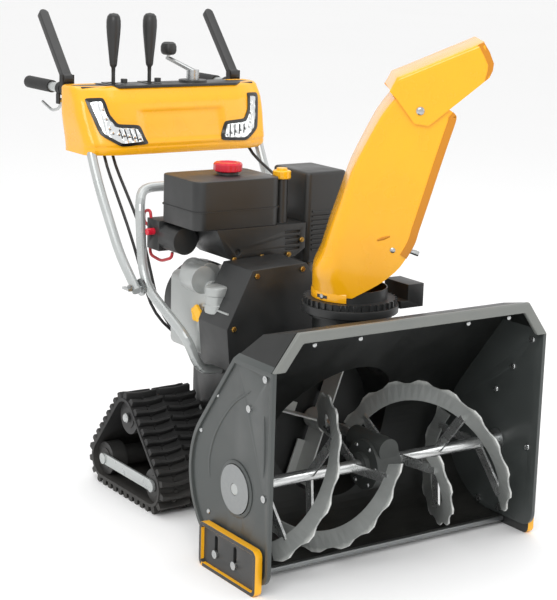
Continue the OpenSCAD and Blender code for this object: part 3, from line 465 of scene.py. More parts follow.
def u_ring(back_point, front_point, half, radius, rib, wall_steps=16):
    """Points of one U from the left front edge round the back to the right front edge."""
    (bf, bz), (ff, fz) = back_point, front_point
    run = []
    for k in range(wall_steps):
        s = 1 - k / (wall_steps - 1)
        run.append((s, half))
    for k in range(1, 5):
        a = math.radians(90 * k / 5)
        run.append((-math.sin(a), half - radius * (1 - math.cos(a))))
    run = run + [(-1, half - radius)] + [(-1, 0)]
    mirrored_run = [(s, -c) for s, c in reversed(run[:-1])]
    out = []
    length = math.hypot(ff - bf, fz - bz)
    cut = min(0.98, radius / max(length, 1))
    for s, c in run + mirrored_run:
        share = cut + s * (1 - cut) if s >= 0 else cut * (1 + s)
        bulge = rib(s) if s > 0 else 0.0
        out.append(chute_at(bf + (ff - bf) * share, c + math.copysign(bulge, c), bz + (fz - bz) * share))
    return out


# %% The chute wall
# Each station is the back point, the front point and the radius of the rear corners, in mm.
chute_stations = [
    ((-90, 575), (0, 575), 88), ((-90, 600), (44, 600), 74), ((-90, 620), (70, 617), 62),
    ((-86, 642), (97, 641), 54), ((-72, 672), (114, 663), 46), ((-62, 705), (136, 704), 40),
    ((-52, 740), (146, 740), 35), ((-32, 800), (163, 800), 25), ((-12, 863), (180, 862), 14),
    ((6, 905), (192, 905), 10), ((25, 945), (204, 947), 8), ((45, 985), (216, 990), 8),
    ((62, 1012), (212, 1003), 8), ((78, 1033), (197, 1014), 8)]


def rib_height(level):
    strength = max(0.0, min(1.0, (level - 3.5) / 1.5)) * max(0.0, min(1.0, (11.6 - level) / 2.0))

    def rib(s):
        first = math.exp(-((s - 0.40 + 0.01 * level) / 0.07) ** 2)
        second = math.exp(-((s - 0.62 + 0.01 * level) / 0.05) ** 2)
        return strength * (2.2 * first + 1.8 * second)
    return rib


back_line = spline([(b[0], b[1], r) for b, f, r in chute_stations], 4)
front_line = spline([(f[0], f[1], 0) for b, f, r in chute_stations], 4)
rings = [u_ring(b[:2], f[:2], CHUTE_HALF, b.z, rib_height(i / 4))
         for i, (b, f) in enumerate(zip(back_line, front_line))]
chute_mesh = loft("chute", rings, close_ring=False, caps=False)


def thickened(mesh, name, thickness_mm, offset=-1, even=True):
    temp = bpy.data.objects.new(name, mesh)
    bpy.context.scene.collection.objects.link(temp)
    wall = temp.modifiers.new("wall", "SOLIDIFY")
    wall.thickness = thickness_mm / 1000
    wall.offset = offset
    wall.use_even_offset = even
    result = baked(temp)
    bpy.data.objects.remove(temp)
    return result


def outward(mesh, centre):
    """Faces of an open skin are turned away from the centre."""
    total = sum((p.center - centre).dot(p.normal) * p.area for p in mesh.polygons)
    if total < 0:
        mesh.flip_normals()
    return mesh


chute_middle = chute_at(30, 0, 800)
chute_mesh = thickened(outward(chute_mesh, chute_middle), "chute_wall", 3)
piece("chute_wall", chute_mesh, "chute", "yellow_plastic", ("chute_tube",), smooth=50)

# %% [markdown]
# A turned-out lip runs up both front edges and gives the mouth its stiffness. It is a flat strip on the
# same front line, a little prouder than the wall, coloured a darker yellow as painted shade of an edge turned from
# the light.

# %% Chute lips, collar and hardware
for side in (-1, 1):
    strip = []
    for i in range(17, 50):
        t = (front_line[i + 1] - front_line[i - 1]).normalized()
        f = front_line[i]
        strip.append([chute_at(f.x + t.y * a, side * c, f.y - t.x * a) for a, c in (
            (-17, 88.5), (-16, 91.6), (-1.5, 93.2), (0.7, 92), (0.7, 86.8))])
    piece("chute_lip_" + ("left" if side < 0 else "right"), loft("lip", strip), "chute", "yellow_plastic",
          material=painted_shade_yellow)


def collar_point(angle, radius, height):
    """A point on the chute's own axis; angle 0 is the way it throws."""
    a = math.radians(angle)
    return chute_at(radius * math.cos(a), radius * math.sin(a), height)


band = [[collar_point(a, r, z) for r, z in ((87.3, 561.4), (91.4, 562.4), (91.8, 566), (91.8, 580), (90.4, 582.5),
                                            (87.3, 582.5))] for a in range(98, 263, 4)]
piece("chute_collar_band", loft("band", band), "chute", "yellow_plastic", smooth=30)
# A black strip stands on the collar band as painted shade of the slot's opening.
slot_shade_strip = [[collar_point(a, r, z) for r, z in ((91, 568), (92.3, 568.4), (92.3, 575.6), (91, 576))]
              for a in range(212, 233, 2)]
piece("chute_collar_slot", loft("slot", slot_shade_strip), "chute", "yellow_plastic", material=lens_black)
screw = turned("screw", [(0.5, -3), (6, -3), (6.5, -1), (6, 1.2), (4, 2.4), (0.5, 2.6)], 16)
screw_places = [(chute_at(88, -90.4, 690), (math.pi / 2, 0, TURN)),
                (chute_at(88, 90.4, 690), (-math.pi / 2, 0, TURN))]
for angle in (140, 222):
    screw_places.append((collar_point(angle, 92.4, 572), (math.pi / 2, 0, TURN + math.radians(angle + 90))))
repeated("chute_screws", screw, screw_places, "chute", "zinc_bolt")
# The low ribs take the darker yellow as painted shade.
for side in (-1, 1):
    rib = tube("low_rib", [chute_at(52, side * 90.2, 712), chute_at(66, side * 90.8, 717),
                           chute_at(80, side * 90.2, 722)], [0.0022, 0.0036, 0.0022], 10)
    piece("chute_low_rib_" + ("left" if side < 0 else "right"), rib, "chute", "yellow_plastic",
          material=painted_shade_yellow)
stud = tube("stud", [chute_at(126, -80, 688), chute_at(140, -80, 684), chute_at(148, -80, 681)],
            [0.005, 0.0065, 0.006], 12)
piece("chute_front_stud", stud, "chute", "zinc_bolt")

# %% [markdown]
# ## The deflector
# The hood over the chute is another U, upside down: a roof and two cheeks whose lower edge comes to a
# soft point where it is hinged. Rings go along its length from the back tip to the outer end.

# %% Hood
hood_top = [(66, 1052), (80, 1080), (128, 1101), (175, 1122), (222, 1143), (269, 1164)]
hood_low = [(65, 1049), (83, 1031), (123, 979), (155, 975), (220, 1030), (285, 1086)]
top_line = [Vector((*p, 0)) for p in hood_top]
low_line = [Vector((*p, 0)) for p in hood_low]
top_line, low_line = [[a.lerp(b, k / 5) for a, b in zip(line, line[1:]) for k in range(5)] + [line[-1]]
                      for line in (top_line, low_line)]


def hood_ring(top, low, half, radius):
    cut = min(0.45, radius / max((top - low).length, 1))
    side = [(1 - k / 8 * (1 - cut), half) for k in range(9)]
    arc = [(cut * (1 - math.sin(a)), half - radius * (1 - math.cos(a)))
           for a in (math.radians(90 * k / 5) for k in range(1, 6))]
    half_run = side + arc
    run = half_run + [(0, 0)] + [(s, -c) for s, c in reversed(half_run)]
    return [chute_at(top.x + (low.x - top.x) * s, c, top.y + (low.y - top.y) * s) for s, c in run]


hood_mesh = loft("hood", [hood_ring(t, l, HOOD_HALF, 9) for t, l in zip(top_line, low_line)], close_ring=False,
                 caps=False)
hood_mesh = thickened(outward(hood_mesh, chute_at(160, 0, 1000)), "hood", 3)
piece("deflector_hood", hood_mesh, "deflector", "yellow_plastic", ("deflector",), smooth=50)
# The end rims and the end lip take the darker yellow as painted shade of edges turned from the light.
outer_rim = [(268, 1163), (282, 1142), (292.5, 1117), (291, 1101), (284.5, 1086)]
inner_rim = [(256, 1157), (270, 1133), (280, 1113), (279, 1100), (274, 1077)]
for side in (-1, 1):
    rim = [[chute_at(f, side * c, z) for (f, z), c in ((o, 96.4), (o, 98.2), (i, 99.2), (i, 96.4))]
           for o, i in zip(outer_rim, inner_rim)]
    piece("hood_end_rim_" + ("left" if side < 0 else "right"), loft("rim", rim), "deflector", "yellow_plastic",
          material=painted_shade_yellow)
roof_rim = [[chute_at(f, c, z) for f, z in ((255, 1156.6), (268, 1163), (275, 1152), (271, 1150), (260, 1154))]
            for c in (-98, -60, 0, 60, 98)]
piece("hood_end_lip", loft("roof_rim", roof_rim), "deflector", "yellow_plastic", material=painted_shade_yellow)
hinge = turned("hinge", [(0.5, -2), (9, -2), (9.5, 0), (8, 2), (5, 3), (0.5, 3.2)], 20)
repeated("hood_hinge_caps", hinge, [(chute_at(135, -101, 1008), (math.pi / 2, 0, TURN)),
                                    (chute_at(135, 101, 1008), (-math.pi / 2, 0, TURN))], "deflector", "zinc_bolt")

# %% [markdown]
# ## The console
# A wide yellow shell with a leaning face. Rings in plan are stacked from the bottom lip to the top: each
# is a long bar with round ends whose front edge follows the drawing's section. Raised bands above and
# below the lamps, and a sunk field between them, are added by moving the face in and out.

# %% Console section
PANEL = 985.0
CONSOLE_Y = 1006.0
SECTION = [(-173, 8), (-166, 3), (-158, 0.5), (-145, 0), (-132, 4), (-110, 11.5), (-84, 19), (-60, 26.5),
           (-40, 33), (-28, 41), (-14, 52), (-6, 58), (-2, 64)]


def face_depth(z):
    for (z0, y0), (z1, y1) in zip(SECTION, SECTION[1:]):
        if z <= z1:
            t = (z - z0) / (z1 - z0)
            return y0 + (y1 - y0) * t
    return SECTION[-1][1]


def step(value, low, high):
    t = max(0.0, min(1.0, (value - low) / (high - low)))
    return t * t * (3 - 2 * t)


def face_relief(x, z):
    """Depth in mm that the face stands in from its plain section: positive is sunk."""
    across = 1 - step(abs(x), 118, 128)
    sunk = across * step(z, -140, -134) * (1 - step(z, -66, -60))
    groove = math.exp(-((z + 152) / 3.5) ** 2)
    return 4.0 * sunk + 1.8 * groove


def console_front(x, z):
    ends = max(0.0, abs(x) - 185) / 86
    return CONSOLE_Y + max(face_depth(z), 0) + face_relief(x, z) + 32 * ends ** 1.6


def console_ring(z, inset=0.0):
    half = 273 + 12 * step(z, -173, -60) - inset
    points = []
    for k in range(0, 61):
        x = -half + 26 + (2 * half - 52) * k / 60
        points.append((x, console_front(x, z) + inset))
    x0, y0 = points[-1]
    back_y = CONSOLE_Y + 161.5 - inset
    corner = [(x0 + 26 * math.sin(a), y0 + 26 * (1 - math.cos(a)) * 1.2)
              for a in (math.radians(15 * k) for k in range(1, 7))]
    side = [(half, corner[-1][1] + (back_y - 10 - corner[-1][1]) * k / 5) for k in range(1, 6)]
    rear = [(half - 3, back_y - 3), (half - 10, back_y)]
    half_run = corner + side + rear
    back_line_points = [(half - 10 - (2 * half - 20) * k / 10, back_y) for k in range(1, 10)]
    mirror_run = [(-x, y) for x, y in reversed(half_run)]
    return [at(x, y, PANEL + z) for x, y in points + half_run + back_line_points + mirror_run]


console_rings = [console_ring(z) for z in
                 [-173, -170, -166, -162, -158, -155, -152, -149, -146, -142, -138, -134, -130, -124, -116, -108,
                  -100, -92, -84, -76, -68, -64, -60, -54, -48, -42, -36, -30, -24, -18, -12, -8]]
console_rings += [console_ring(-4, 2), console_ring(-1.5, 5), console_ring(-0.5, 9)]
console_rings += [console_ring(-1.5, 16), console_ring(-4, 19)]
console_mesh = loft("console", console_rings, caps=False)
console_mesh = thickened(outward(console_mesh, at(0, 1080, 900)), "console", 2.5)
piece("console_shell", console_mesh, "chassis", "yellow_plastic", ("console_cover",), smooth=50)

# %% [markdown]
# The black deck closes the top of the shell. It is a plate with rounded edges, with slots for the two
# levers, so the drawing's own node is softened and kept, and a wider dark tray sits below it.

# %% Console deck
tray_half = [(-262, 84), (-200, 68), (0, 66), (200, 68), (262, 84), (262, 144), (-262, 144)]


def plate_with_slots(name, outline, z0, z1, holes):
    """A flat plate with rectangular holes, cut with a boolean and given soft edges."""
    bm = bmesh.new()
    low = [bm.verts.new(at(x, CONSOLE_Y + y, z0)) for x, y in outline]
    base = bm.faces.new(low)
    top = bmesh.ops.extrude_face_region(bm, geom=[base])
    bmesh.ops.translate(bm, vec=(0, 0, (z1 - z0) / 1000),
                        verts=[v for v in top["geom"] if isinstance(v, bmesh.types.BMVert)])
    bmesh.ops.recalc_face_normals(bm, faces=bm.faces)
    mesh = bpy.data.meshes.new(name)
    bm.to_mesh(mesh)
    bm.free()
    plate = bpy.data.objects.new(name, mesh)
    bpy.context.scene.collection.objects.link(plate)
    cutters = []
    for x, y, w, d in holes:
        bm = bmesh.new()
        bmesh.ops.create_cube(bm, size=1)
        bmesh.ops.scale(bm, vec=(w / 1000, d / 1000, 0.08), verts=bm.verts)
        bmesh.ops.translate(bm, vec=at(x, y, z1), verts=bm.verts)
        cut_mesh = bpy.data.meshes.new("cut")
        bm.to_mesh(cut_mesh)
        bm.free()
        cutter = bpy.data.objects.new("cut", cut_mesh)
        bpy.context.scene.collection.objects.link(cutter)
        hole = plate.modifiers.new("hole", "BOOLEAN")
        hole.object = cutter
        hole.operation = "DIFFERENCE"
        cutters.append(cutter)
    edge = plate.modifiers.new("edge", "BEVEL")
    edge.width = 0.0015
    edge.segments = 2
    edge.limit_method = "ANGLE"
    result = baked(plate)
    bpy.data.objects.remove(plate)
    for cutter in cutters:
        bpy.data.objects.remove(cutter)
    return result


slots = [(-152, 1124, 17, 56), (-44, 1124, 17, 56), (85, 1115, 20, 20)]
piece("console_tray", plate_with_slots("tray", tray_half, PANEL - 6, PANEL - 2.2, slots), "chassis",
      "black_plastic")
softened("console_panel", 1.2)
for x, label in ((-152, "speed"), (-44, "hood")):
    guide = plate_with_slots("guide", [(x - 16, 78), (x + 16, 78), (x + 16, 157), (x - 16, 157)], PANEL,
                             PANEL + 2, [(x, 1124, 17, 56)])
    piece("lever_guide_" + label, guide, "chassis", "black_plastic", material=lens_black)

# %% [markdown]
# ## The lamps
# Each lamp is an L: a wide upper field that follows the shell's corner and a lower foot that points
# inwards, with a row of small diodes in it. A dark bezel strip runs round a bright cup.


# %% Lamp outlines
LAMP = [(262, -32), (222, -30), (214, -70), (195, -96), (132, -100), (114, -143), (190, -147), (238, -118)]


def inset_outline(points, amount):
    n = len(points)
    out = []
    for i in range(n):
        p0, p1, p2 = (Vector(points[(i + d) % n]) for d in (-1, 0, 1))
        a, b = (p1 - p0).normalized(), (p2 - p1).normalized()
        na, nb = Vector((a.y, -a.x)), Vector((b.y, -b.x))
        m = (na + nb).normalized()
        out.append(p1 + m * amount / max(0.4, m.dot(na)))
    return out


def dense(points, count):
    out = []
    n = len(points)
    for i in range(n):
        a, b = Vector(points[i]), Vector(points[(i + 1) % n])
        before = Vector(points[i - 1])
        after = Vector(points[(i + 2) % n])
        for k in range(count):
            t = (k + 0.5) / count
            p = a.lerp(b, t)
            near_a, near_b = max(0, 0.22 - t) / 0.22, max(0, t - 0.78) / 0.22
            p = p.lerp(a.lerp(before, 0.16).lerp(a.lerp(b, 0.16), 0.5), 0.45 * near_a ** 1.5)
            p = p.lerp(b.lerp(after, 0.16).lerp(b.lerp(a, 0.16), 0.5), 0.45 * near_b ** 1.5)
            out.append(p)
    return out


def lamp_face(x, z, out):
    return at(x, console_front(x, z) - out, PANEL + z)


signed = sum(LAMP[i][0] * LAMP[(i + 1) % 8][1] - LAMP[(i + 1) % 8][0] * LAMP[i][1] for i in range(8))
grow = -1 if signed > 0 else 1
for side, label in ((-1, "left"), (1, "right")):
    outer = dense(inset_outline(LAMP, 3 * -grow), 9)
    inner = dense(inset_outline(LAMP, 5 * grow), 9)
    rings = []
    for loop, out in ((outer, -1), (outer, 3.2), (inner, 4.2), (inner, -1)):
        rings.append([lamp_face(side * p.x, p.y, out) for p in loop])
    verts = [v for r in rings for v in r]
    n = len(outer)
    faces = [(i * n + j, i * n + (j + 1) % n, ((i + 1) % 4) * n + (j + 1) % n, ((i + 1) % 4) * n + j)
             for i in range(4) for j in range(n)]
    piece("lamp_bezel_" + label, mesh_from("bezel", verts, faces), "chassis", "headlight", material=lens_black)
    bm = bmesh.new()
    loop = [bm.verts.new((p.x, 0, p.y)) for p in inner]
    cup = bm.faces.new(loop)
    bmesh.ops.triangulate(bm, faces=[cup])
    bmesh.ops.subdivide_edges(bm, edges=bm.edges, cuts=3, use_grid_fill=True)
    for v in bm.verts:
        x, z = v.co.x, v.co.z
        ripple = 1.6 * math.cos(x / 3.2) * math.cos(z / 4.5)
        v.co = lamp_face(side * x, z, 1.6 + 0.4 * ripple)
    mesh = bpy.data.meshes.new("cup")
    bm.to_mesh(mesh)
    bm.free()
    cup_mesh = thickened(outward(mesh, at(0, 1300, 900)), "cup", 1.2, even=False)
    piece("lamp_cup_" + label, cup_mesh, "chassis", "headlight", ("headlights",) if side > 0 else ())
    diode = turned("diode", [(0.4, -3), (4.6, -3), (5, 0), (3.6, 2.5), (0.4, 3)], 12)
    spots = [(lamp_face(side * (134 + 15 * k), -131 + 3.2 * k, 3.0), (math.pi / 2, 0, 0)) for k in range(6)]
    spots += [(lamp_face(side * (216 + 5 * k), -104 + 24 * k, 3.0), (math.pi / 2, 0, 0)) for k in range(3)]
    repeated("lamp_diodes_" + label, diode, spots, "chassis", "headlight")
    ribs = [tube("fin", [lamp_face(side * (146 + 15 * k), -106, 3.2),
                         lamp_face(side * (140 + 15 * k), -138 + 3 * k, 3.2)], 0.0011, 6) for k in range(4)]
    join = bmesh.new()
    for r in ribs:
        join.from_mesh(r)
    fins = bpy.data.meshes.new("fins")
    join.to_mesh(fins)
    join.free()
    piece("lamp_fins_" + label, fins, "chassis", "headlight", material=lens_black)

# %% [markdown]
# ## Levers and grips
# The two deck levers end in fat tapered grips. The handle grips are rubber sleeves with rings, and the
# crank has a round knob. Turned shapes are spun from a profile of radii and heights.

# %% Deck levers
LEVER_Z = 953.0
for x, node in ((-152, "speed_lever"), (-44, "deflector_lever")):
    profile = [(0.5, -9), (5, -8.5), (5, 60), (5.5, 74), (9, 79), (10, 84), (11.5, 100), (14.5, 128), (17.5, 158),
               (19, 180), (18.8, 196), (16.5, 207), (11, 213.5), (0.5, 215.5)]
    grip = turned("grip", profile, 28)
    moved(grip, at(x, 1124, LEVER_Z))
    hub = moved(turned("hub", [(0.5, -5), (8, -5), (9, -4), (9, 4), (8, 5), (0.5, 5)], 20), at(x, 1124, LEVER_Z),
                (0, math.pi / 2, 0))
    both = bmesh.new()
    both.from_mesh(grip)
    both.from_mesh(hub)
    mesh = bpy.data.meshes.new(node)
    both.to_mesh(mesh)
    both.free()
    piece(node + "_grip", mesh, node, "lever_plastic", (node,), smooth=40)

# %% Handle grips
ring_shape = turned("grip_ring", [(12.6, -4), (15.6, -4), (16.5, -2.5), (16.5, 2.5), (15.6, 4), (12.6, 4)], 28,
                    close=False)
ring_places = [(at(side * 257, 1276 + 10.4 * k, 968), (math.pi / 2, 0, 0)) for side in (-1, 1) for k in range(13)]
repeated("grip_rings", ring_shape, ring_places, "chassis", "rubber_grip")

# %% Crank knob and caps
tip = at(46, 1179, 0)
knob_profile = [(5.1, 62), (14, 62), (19, 65), (22, 72), (22, 84), (19, 92), (13, 96), (0.5, 97)]
knob = turned("knob", [(r, z + PANEL + 6.3) for r, z in knob_profile], 28, lobes=6, lobe_depth=0.02)
moved(knob, Vector((tip.x, tip.y, 0)))
piece("crank_knob_turned", knob, "crank_knob", "black_plastic", ("crank_knob",))
cap = turned("fuel_cap", [(0.5, -14), (18, -14), (19, -2), (33, 0), (35, 2), (35, 17), (32, 21.5), (22, 22),
                          (20, 19.5), (0.5, 19)], 60, lobes=12, lobe_depth=0.028)
moved(cap, at(-62, 695, 808.3))
piece("fuel_cap_scalloped", cap, "fuel_cap", "red_cap", ("fuel_cap",), smooth=30)
oil = turned("oil_cap", [(0.5, 0), (21, 0), (22.5, 2), (22.5, 18), (20, 20), (14, 20.5), (13, 26), (0.5, 26)], 48,
             lobes=16, lobe_depth=0.02)
moved(oil, at(62, 640, 790.3))
piece("oil_cap_ridged", oil, "oil_cap", "yellow_cap", ("oil_cap",), smooth=30)

# %% [markdown]
# ## Tracks
# A rubber track is a belt with tall lugs. Each lug is two halves that curve towards each other, with a
# thick knob at the outer end of each. One lug is modelled and copied round the loop of three wheels.

# %% The lug and its path
FRONT, REAR, TOP = Vector((592, 66)), Vector((838, 66)), Vector((720, 205))
BELT_R = 50.0
BELT_INNER, BELT_OUTER = 149.5, 334.5


def lug_shape():
    """One lug across the belt at x = 0, standing along -z, 16 mm tall."""
    bm = bmesh.new()
    for half in (-1, 1):
        rings = []
        for k in range(9):
            t = k / 8
            x = half * (4 + 86.5 * t)
            bend = 5.5 * math.sin(math.pi * t) - 2
            thick = 4.6 + (2.4 * step(t, 0.78, 0.92))
            tall = 14.2 + 1.8 * step(t, 0.7, 0.9)
            rings.append([Vector((x, bend + a, b)) for a, b in (
                (-thick - 1.5, 0.5), (thick + 1.5, 0.5), (thick, -tall + 2.5), (thick - 1.8, -tall),
                (-thick + 1.8, -tall), (-thick, -tall + 2.5))])
        verts = [bm.verts.new(v / 1000) for r in rings for v in r]
        for i in range(8):
            for j in range(6):
                q = (j + 1) % 6
                bm.faces.new((verts[i * 6 + j], verts[i * 6 + q], verts[i * 6 + 6 + q], verts[i * 6 + 6 + j]))
        bm.faces.new(verts[0:6])
        bm.faces.new(verts[-6:])
    bmesh.ops.recalc_face_normals(bm, faces=bm.faces)
    mesh = bpy.data.meshes.new("lug")
    bm.to_mesh(mesh)
    bm.free()
    return mesh


def loop_points(count, radius):
    edges = [(FRONT, REAR), (REAR, TOP), (TOP, FRONT)]
    runs = []
    for i, (a, b) in enumerate(edges):
        heading = math.atan2((b - a).y, (b - a).x)
        after = edges[(i + 1) % 3]
        nxt = math.atan2((after[1] - after[0]).y, (after[1] - after[0]).x)
        turn = (nxt - heading) % (2 * math.pi)
        runs.append((a, b, heading, turn))
    total = sum((b - a).length + turn * BELT_R for a, b, h, turn in runs)
    out = []
    for k in range(count):
        s = (k + 0.5) * total / count
        for a, b, h, turn in runs:
            if s < (b - a).length:
                p = a + (b - a).normalized() * s
                out.append((p + radius * Vector((math.sin(h), -math.cos(h))), h))
                break
            s -= (b - a).length
            if s < turn * BELT_R:
                g = h + s / BELT_R
                out.append((b + radius * Vector((math.sin(g), -math.cos(g))), g))
                break
            s -= turn * BELT_R
    return out


# %% Lugs and belts
lug = lug_shape()
lug_places = [(at(side * 242, p.x, p.y), (a, 0, 0)) for side in (-1, 1) for p, a in loop_points(34, BELT_R)]
repeated("track_lugs", lug, lug_places, "chassis", "track_rubber", stands_for=("track_belts",), smooth=40)
cleat = mesh_from("cleat", [Vector(v) / 1000 for v in (
    (-5, -6, 1), (5, -6, 1), (5, 6, 1), (-5, 6, 1), (-4, -4, -4), (4, -4, -4), (4, 4, -4), (-4, 4, -4))],
    [(0, 1, 2, 3), (4, 5, 6, 7), (0, 1, 5, 4), (1, 2, 6, 5), (2, 3, 7, 6), (3, 0, 4, 7)])
for side, label in ((-1, "left"), (1, "right")):
    rings = []
    for (p, a), (q, b) in zip(loop_points(120, BELT_R), loop_points(120, 42.2)):
        rings.append([at(side * BELT_INNER, p.x, p.y), at(side * BELT_OUTER, p.x, p.y),
                      at(side * BELT_OUTER, q.x, q.y), at(side * BELT_INNER, q.x, q.y)])
    n = len(rings)
    verts = [v for r in rings for v in r]
    faces = [(4 * i + j, 4 * i + (j + 1) % 4, 4 * ((i + 1) % n) + (j + 1) % 4, 4 * ((i + 1) % n) + j)
             for i in range(n) for j in range(4)]
    piece("track_belt_" + label, mesh_from("belt", verts, faces), "chassis", "track_rubber", smooth=30)
cleats = [(at(side * (242 + dx), p.x, p.y), (a, 0, 0)) for side in (-1, 1) for dx in (-46, 46)
          for p, a in loop_points(68, BELT_R)]
repeated("track_cleats", cleat, cleats, "chassis", "track_rubber")

# %% Hub caps on the sprockets
hub_cap = turned("hub_cap", [(0.5, 0), (12, 0), (12, 3), (9, 6), (0.5, 7)], 20)
for side, label in ((-1, "left"), (1, "right")):
    caps = [(at(side * 326, y, z), (0, side * math.pi / 2, 0)) for y, z in ((720, 205),)]
    repeated("sprocket_cap_" + label, hub_cap, caps, "sprocket_" + label, "zinc_bolt", size=1.0)

# %% [markdown]
# ## Housing details
# The side plates carry a pressed curve and a round sunk seat for the auger's bearing, and the rail is held
# by small screws. Pressings are thin raised strips.


# %% Pressed curve on the side plates
def pressed_strip(side, points, width, height, base):
    """A raised strip along (y, z) points on a side plate."""
    line = spline([(y, z, 0) for y, z in points], 8)
    rings = []
    for i, p in enumerate(line):
        t = (line[min(i + 1, len(line) - 1)] - line[max(i - 1, 0)]).normalized()
        n = Vector((-t.y, t.x))
        end = math.sin(math.pi * min(1, max(0, i / (len(line) - 1)))) ** 0.4
        rings.append([at(side * (base + h * end), p.x + n.x * w * end, p.y + n.y * w * end) for w, h in (
            (-width, -1.0), (-width * 0.55, height), (width * 0.55, height), (width, -1.0))])
    return loft("pressing", rings)


plate_face = 380 - 9 + 3
for side, label in ((-1, "left"), (1, "right")):
    curve = pressed_strip(side, [(88, 440), (160, 392), (222, 318), (250, 250), (248, 196)], 5, 2.6, plate_face)
    piece("pressed_curve_" + label, curve, "chassis", "grey_side_plate")
    inner_curve = pressed_strip(side, [(34, 262), (34, 330), (38, 400)], 3.5, 1.8, plate_face)
    piece("pressed_line_" + label, inner_curve, "chassis", "grey_side_plate")
    seat = turned("seat", [(57, -2), (62, -1), (64, 1.5), (60, 3.4), (56.5, 3.6), (55.5, 1), (55.5, -2)], 56,
                  close=False)
    moved(seat, at(side * plate_face, AUGER_Y, AUGER_Z), (0, side * math.pi / 2, 0))
    piece("bearing_seat_" + label, seat, "chassis", "grey_side_plate")
    cover = turned("cover", [(0.5, 6.5), (12, 6.4), (14, 4.5), (30, 5.2), (50, 4.8), (54.5, 3.5), (55, 0)], 48)
    moved(cover, at(side * plate_face, AUGER_Y, AUGER_Z), (0, side * math.pi / 2, 0))
    piece("bearing_cover_" + label, cover, "chassis", "bare_steel", material=finishes["cast_aluminium"])

# %% Small screws and bolts
dome = turned("dome", [(0.5, -1), (6.2, -1), (6.4, 0.6), (5, 2.6), (2.5, 3.6), (0.5, 3.8)], 14)
dome_places = []
for side in (-1, 1):
    for y, z in ((35, 478), (95, 399), (30, 217), (222, 398), (288, 300), (60, 90), (250, 120)):
        dome_places.append((at(side * (plate_face + 0.5), y, z), (0, side * math.pi / 2, 0)))
repeated("plate_screws", dome, dome_places, "chassis", "zinc_bolt", size=0.9)
under_rail = [(at(x, 10, 546), (math.pi / 2, 0, 0)) for x in (-270, -150, 150, 270)]
repeated("rail_screws", dome, under_rail, "chassis", "zinc_bolt", size=0.9)
inner_places = [(at(370, y, z), (0, -math.pi / 2, 0)) for y, z in ((35, 478), (95, 399), (30, 217), (150, 330))]
inner_places += [(at(-370, y, z), (0, math.pi / 2, 0)) for y, z in ((35, 478), (95, 399), (30, 217))]
repeated("inner_plate_bolts", dome, inner_places, "chassis", "zinc_bolt", size=1.2)
flange_bolts = []
for a in range(6):
    b = math.radians(60 * a + 30)
    for side in (-1, 1):
        flange_bolts.append((at(side * 34.5, AUGER_Y + 48 * math.sin(b), AUGER_Z + 48 * math.cos(b)),
                             (0, side * math.pi / 2, 0)))
repeated("gearbox_bolts", dome, flange_bolts, "chassis", "zinc_bolt", size=0.9)

# %% Skid shoes with a yellow rim
def skid_parts(side):
    def choose(centre, normal):
        x = abs(centre.x) * 1000
        y, z = centre.y * 1000 + MIDDLE, centre.z * 1000
        edge = min(y - 20, 250 - y, z, 105 - z)
        return 1 if edge < 9.5 and x > 384 else 0
    return ([finishes["skid_plastic"], amber_trim], choose)


softened("skid_left", 1.6, recolour=skid_parts(-1))
softened("skid_right", 1.6, recolour=skid_parts(1))

# %% [markdown]
# ## Engine details
# Louvres on the heater box, cans and fins on the crankcase, gold-coloured bolts along the covers, a seam
# round the tank and a star-shaped oil plug give the engine its scale.

# %% Louvres, bolts and plug
slat = mesh_from("slat", [Vector(v) / 1000 for v in (
    (-42, -1, -3), (42, -1, -3), (42, 3, -2), (-42, 3, -2), (-42, 3, 3), (42, 3, 3), (42, -1, 0), (-42, -1, 0))],
    [(0, 1, 2, 3), (3, 2, 5, 4), (4, 5, 6, 7), (7, 6, 1, 0), (0, 3, 4, 7), (1, 6, 5, 2)])
slats = [(at(172, 597.6, 612 + 12 * k), (0, 0, 0)) for k in range(9)]
repeated("heater_louvres", slat, slats, "chassis", "black_plastic")
hexagon = turned("hexagon", [(0.4, 0), (7, 0), (7, 4), (6, 5), (3.5, 5), (3.5, 7), (0.4, 7)], 6)
gold = [(at(x, 598.5, z), (math.pi / 2, 0, 0)) for x, z in ((-100, 606), (-20, 606), (60, 606), (98, 640))]
gold += [(at(x, 464.5, z), (math.pi / 2, 0, 0)) for x, z in ((-120, 592), (10, 598), (-182, 470), (92, 480))]
repeated("cover_bolts", hexagon, gold, "chassis", "zinc_bolt", material=bronze_bolt)
can = turned("can", [(0.5, -34), (24, -34), (29, -31), (30, -27), (30, -12), (28, -10), (28, 10), (30, 12), (30, 27),
                     (29, 31), (24, 34), (0.5, 34)], 32)
can_places = [(at(-170, 560, 522), (0, 0, 0)), (at(-158, 592, 446), (math.pi / 2, 0, 0))]
repeated("crankcase_cans", can, can_places, "chassis", "cast_aluminium")
fin = mesh_from("fin", [Vector(v) / 1000 for v in (
    (-11, -58, -1.6), (6, -58, -1.6), (6, 58, -1.6), (-11, 58, -1.6),
    (-9, -55, 1.6), (6, -55, 1.6), (6, 55, 1.6), (-9, 55, 1.6))],
    [(0, 1, 2, 3), (4, 5, 6, 7), (0, 1, 5, 4), (1, 2, 6, 5), (2, 3, 7, 6), (3, 0, 4, 7)])
repeated("crankcase_fins", fin, [(at(-178, 540, 484 + 9 * k), (0, 0, 0)) for k in range(3)], "chassis",
         "cast_aluminium")
plug = turned("plug", [(0.5, -16), (11, -16), (11, 0), (20, 1), (21, 4), (20, 8), (8, 10), (0.5, 10)], 40, lobes=5,
              lobe_depth=0.1)
moved(plug, at(-178, 632, 473), (0, -math.pi / 2, 0))
piece("oil_drain_plug", plug, "chassis", "yellow_cap", material=finishes["yellow_cap"])
low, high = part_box("fuel_tank")
seam_rings = []
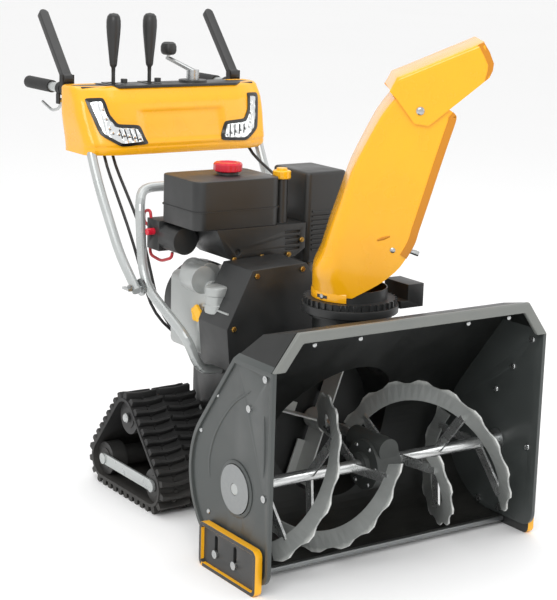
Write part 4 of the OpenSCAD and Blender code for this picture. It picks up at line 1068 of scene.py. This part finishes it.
for z, grow_mm in ((-1.5, 0), (-1.2, 2.2), (1.2, 2.2), (1.5, 0)):
    ring = []
    cx, cy = (low.x + high.x) / 2, (low.y + high.y) / 2
    hx, hy = (high.x - low.x) / 2 + grow_mm / 1000, (high.y - low.y) / 2 + grow_mm / 1000
    r = 0.028
    for q, (sx, sy) in enumerate(((1, 1), (-1, 1), (-1, -1), (1, -1))):
        for k in range(7):
            a = math.radians(90 * q + 15 * k)
            ring.append(Vector((cx + sx * (hx - r) + r * math.cos(a), cy + sy * (hy - r) + r * math.sin(a),
                                0.726 + z / 1000)))
    seam_rings.append(ring)
piece("tank_seam", loft("seam", seam_rings), "chassis", "black_plastic")

# %% [markdown]
# ## Floor and light
# A pale floor that reaches far behind the machine, a bright plain sky, and three big soft lamps: one
# high on the left in front, one from the right and one above.

# %% Floor
floor_mesh = mesh_from("floor", [(-30, -30, 0), (30, -30, 0), (30, 30, 0), (-30, 30, 0)], [(0, 1, 2, 3)])
if floor_mesh.polygons[0].normal.z < 0:
    floor_mesh.flip_normals()
floor = bpy.data.objects.new("floor", floor_mesh)
bpy.context.scene.collection.objects.link(floor)
floor_mat = finish("pale_studio_floor", "#FFFFFF", "#FCFCFC", 0.7, patch_mm=3000, grain_mm=40, depth=0.0)
floor_mesh.materials.append(floor_mat)

# %% Lights
world = bpy.data.worlds.new("studio")
bpy.context.scene.world = world
world.use_nodes = True
world.node_tree.nodes["Background"].inputs[0].default_value = (1, 1, 1, 1)
world.node_tree.nodes["Background"].inputs[1].default_value = 0.95
bpy.context.scene.view_settings.view_transform = "Standard"


def softbox(name, place, aim, size, power):
    data = bpy.data.lights.new(name, "AREA")
    data.size = size
    data.energy = power
    obj = bpy.data.objects.new(name, data)
    bpy.context.scene.collection.objects.link(obj)
    obj.location = place
    obj.rotation_euler = (Vector(aim) - Vector(place)).to_track_quat("-Z", "Y").to_euler()


softbox("key", (-2.2, -2.6, 3.2), (0, 0, 0.5), 2.2, 60)
softbox("fill", (3.2, -2.4, 2.0), (0, -0.2, 0.5), 2.5, 20)
softbox("top", (0.4, 0.6, 4.0), (0, 0, 0.5), 3.0, 40)
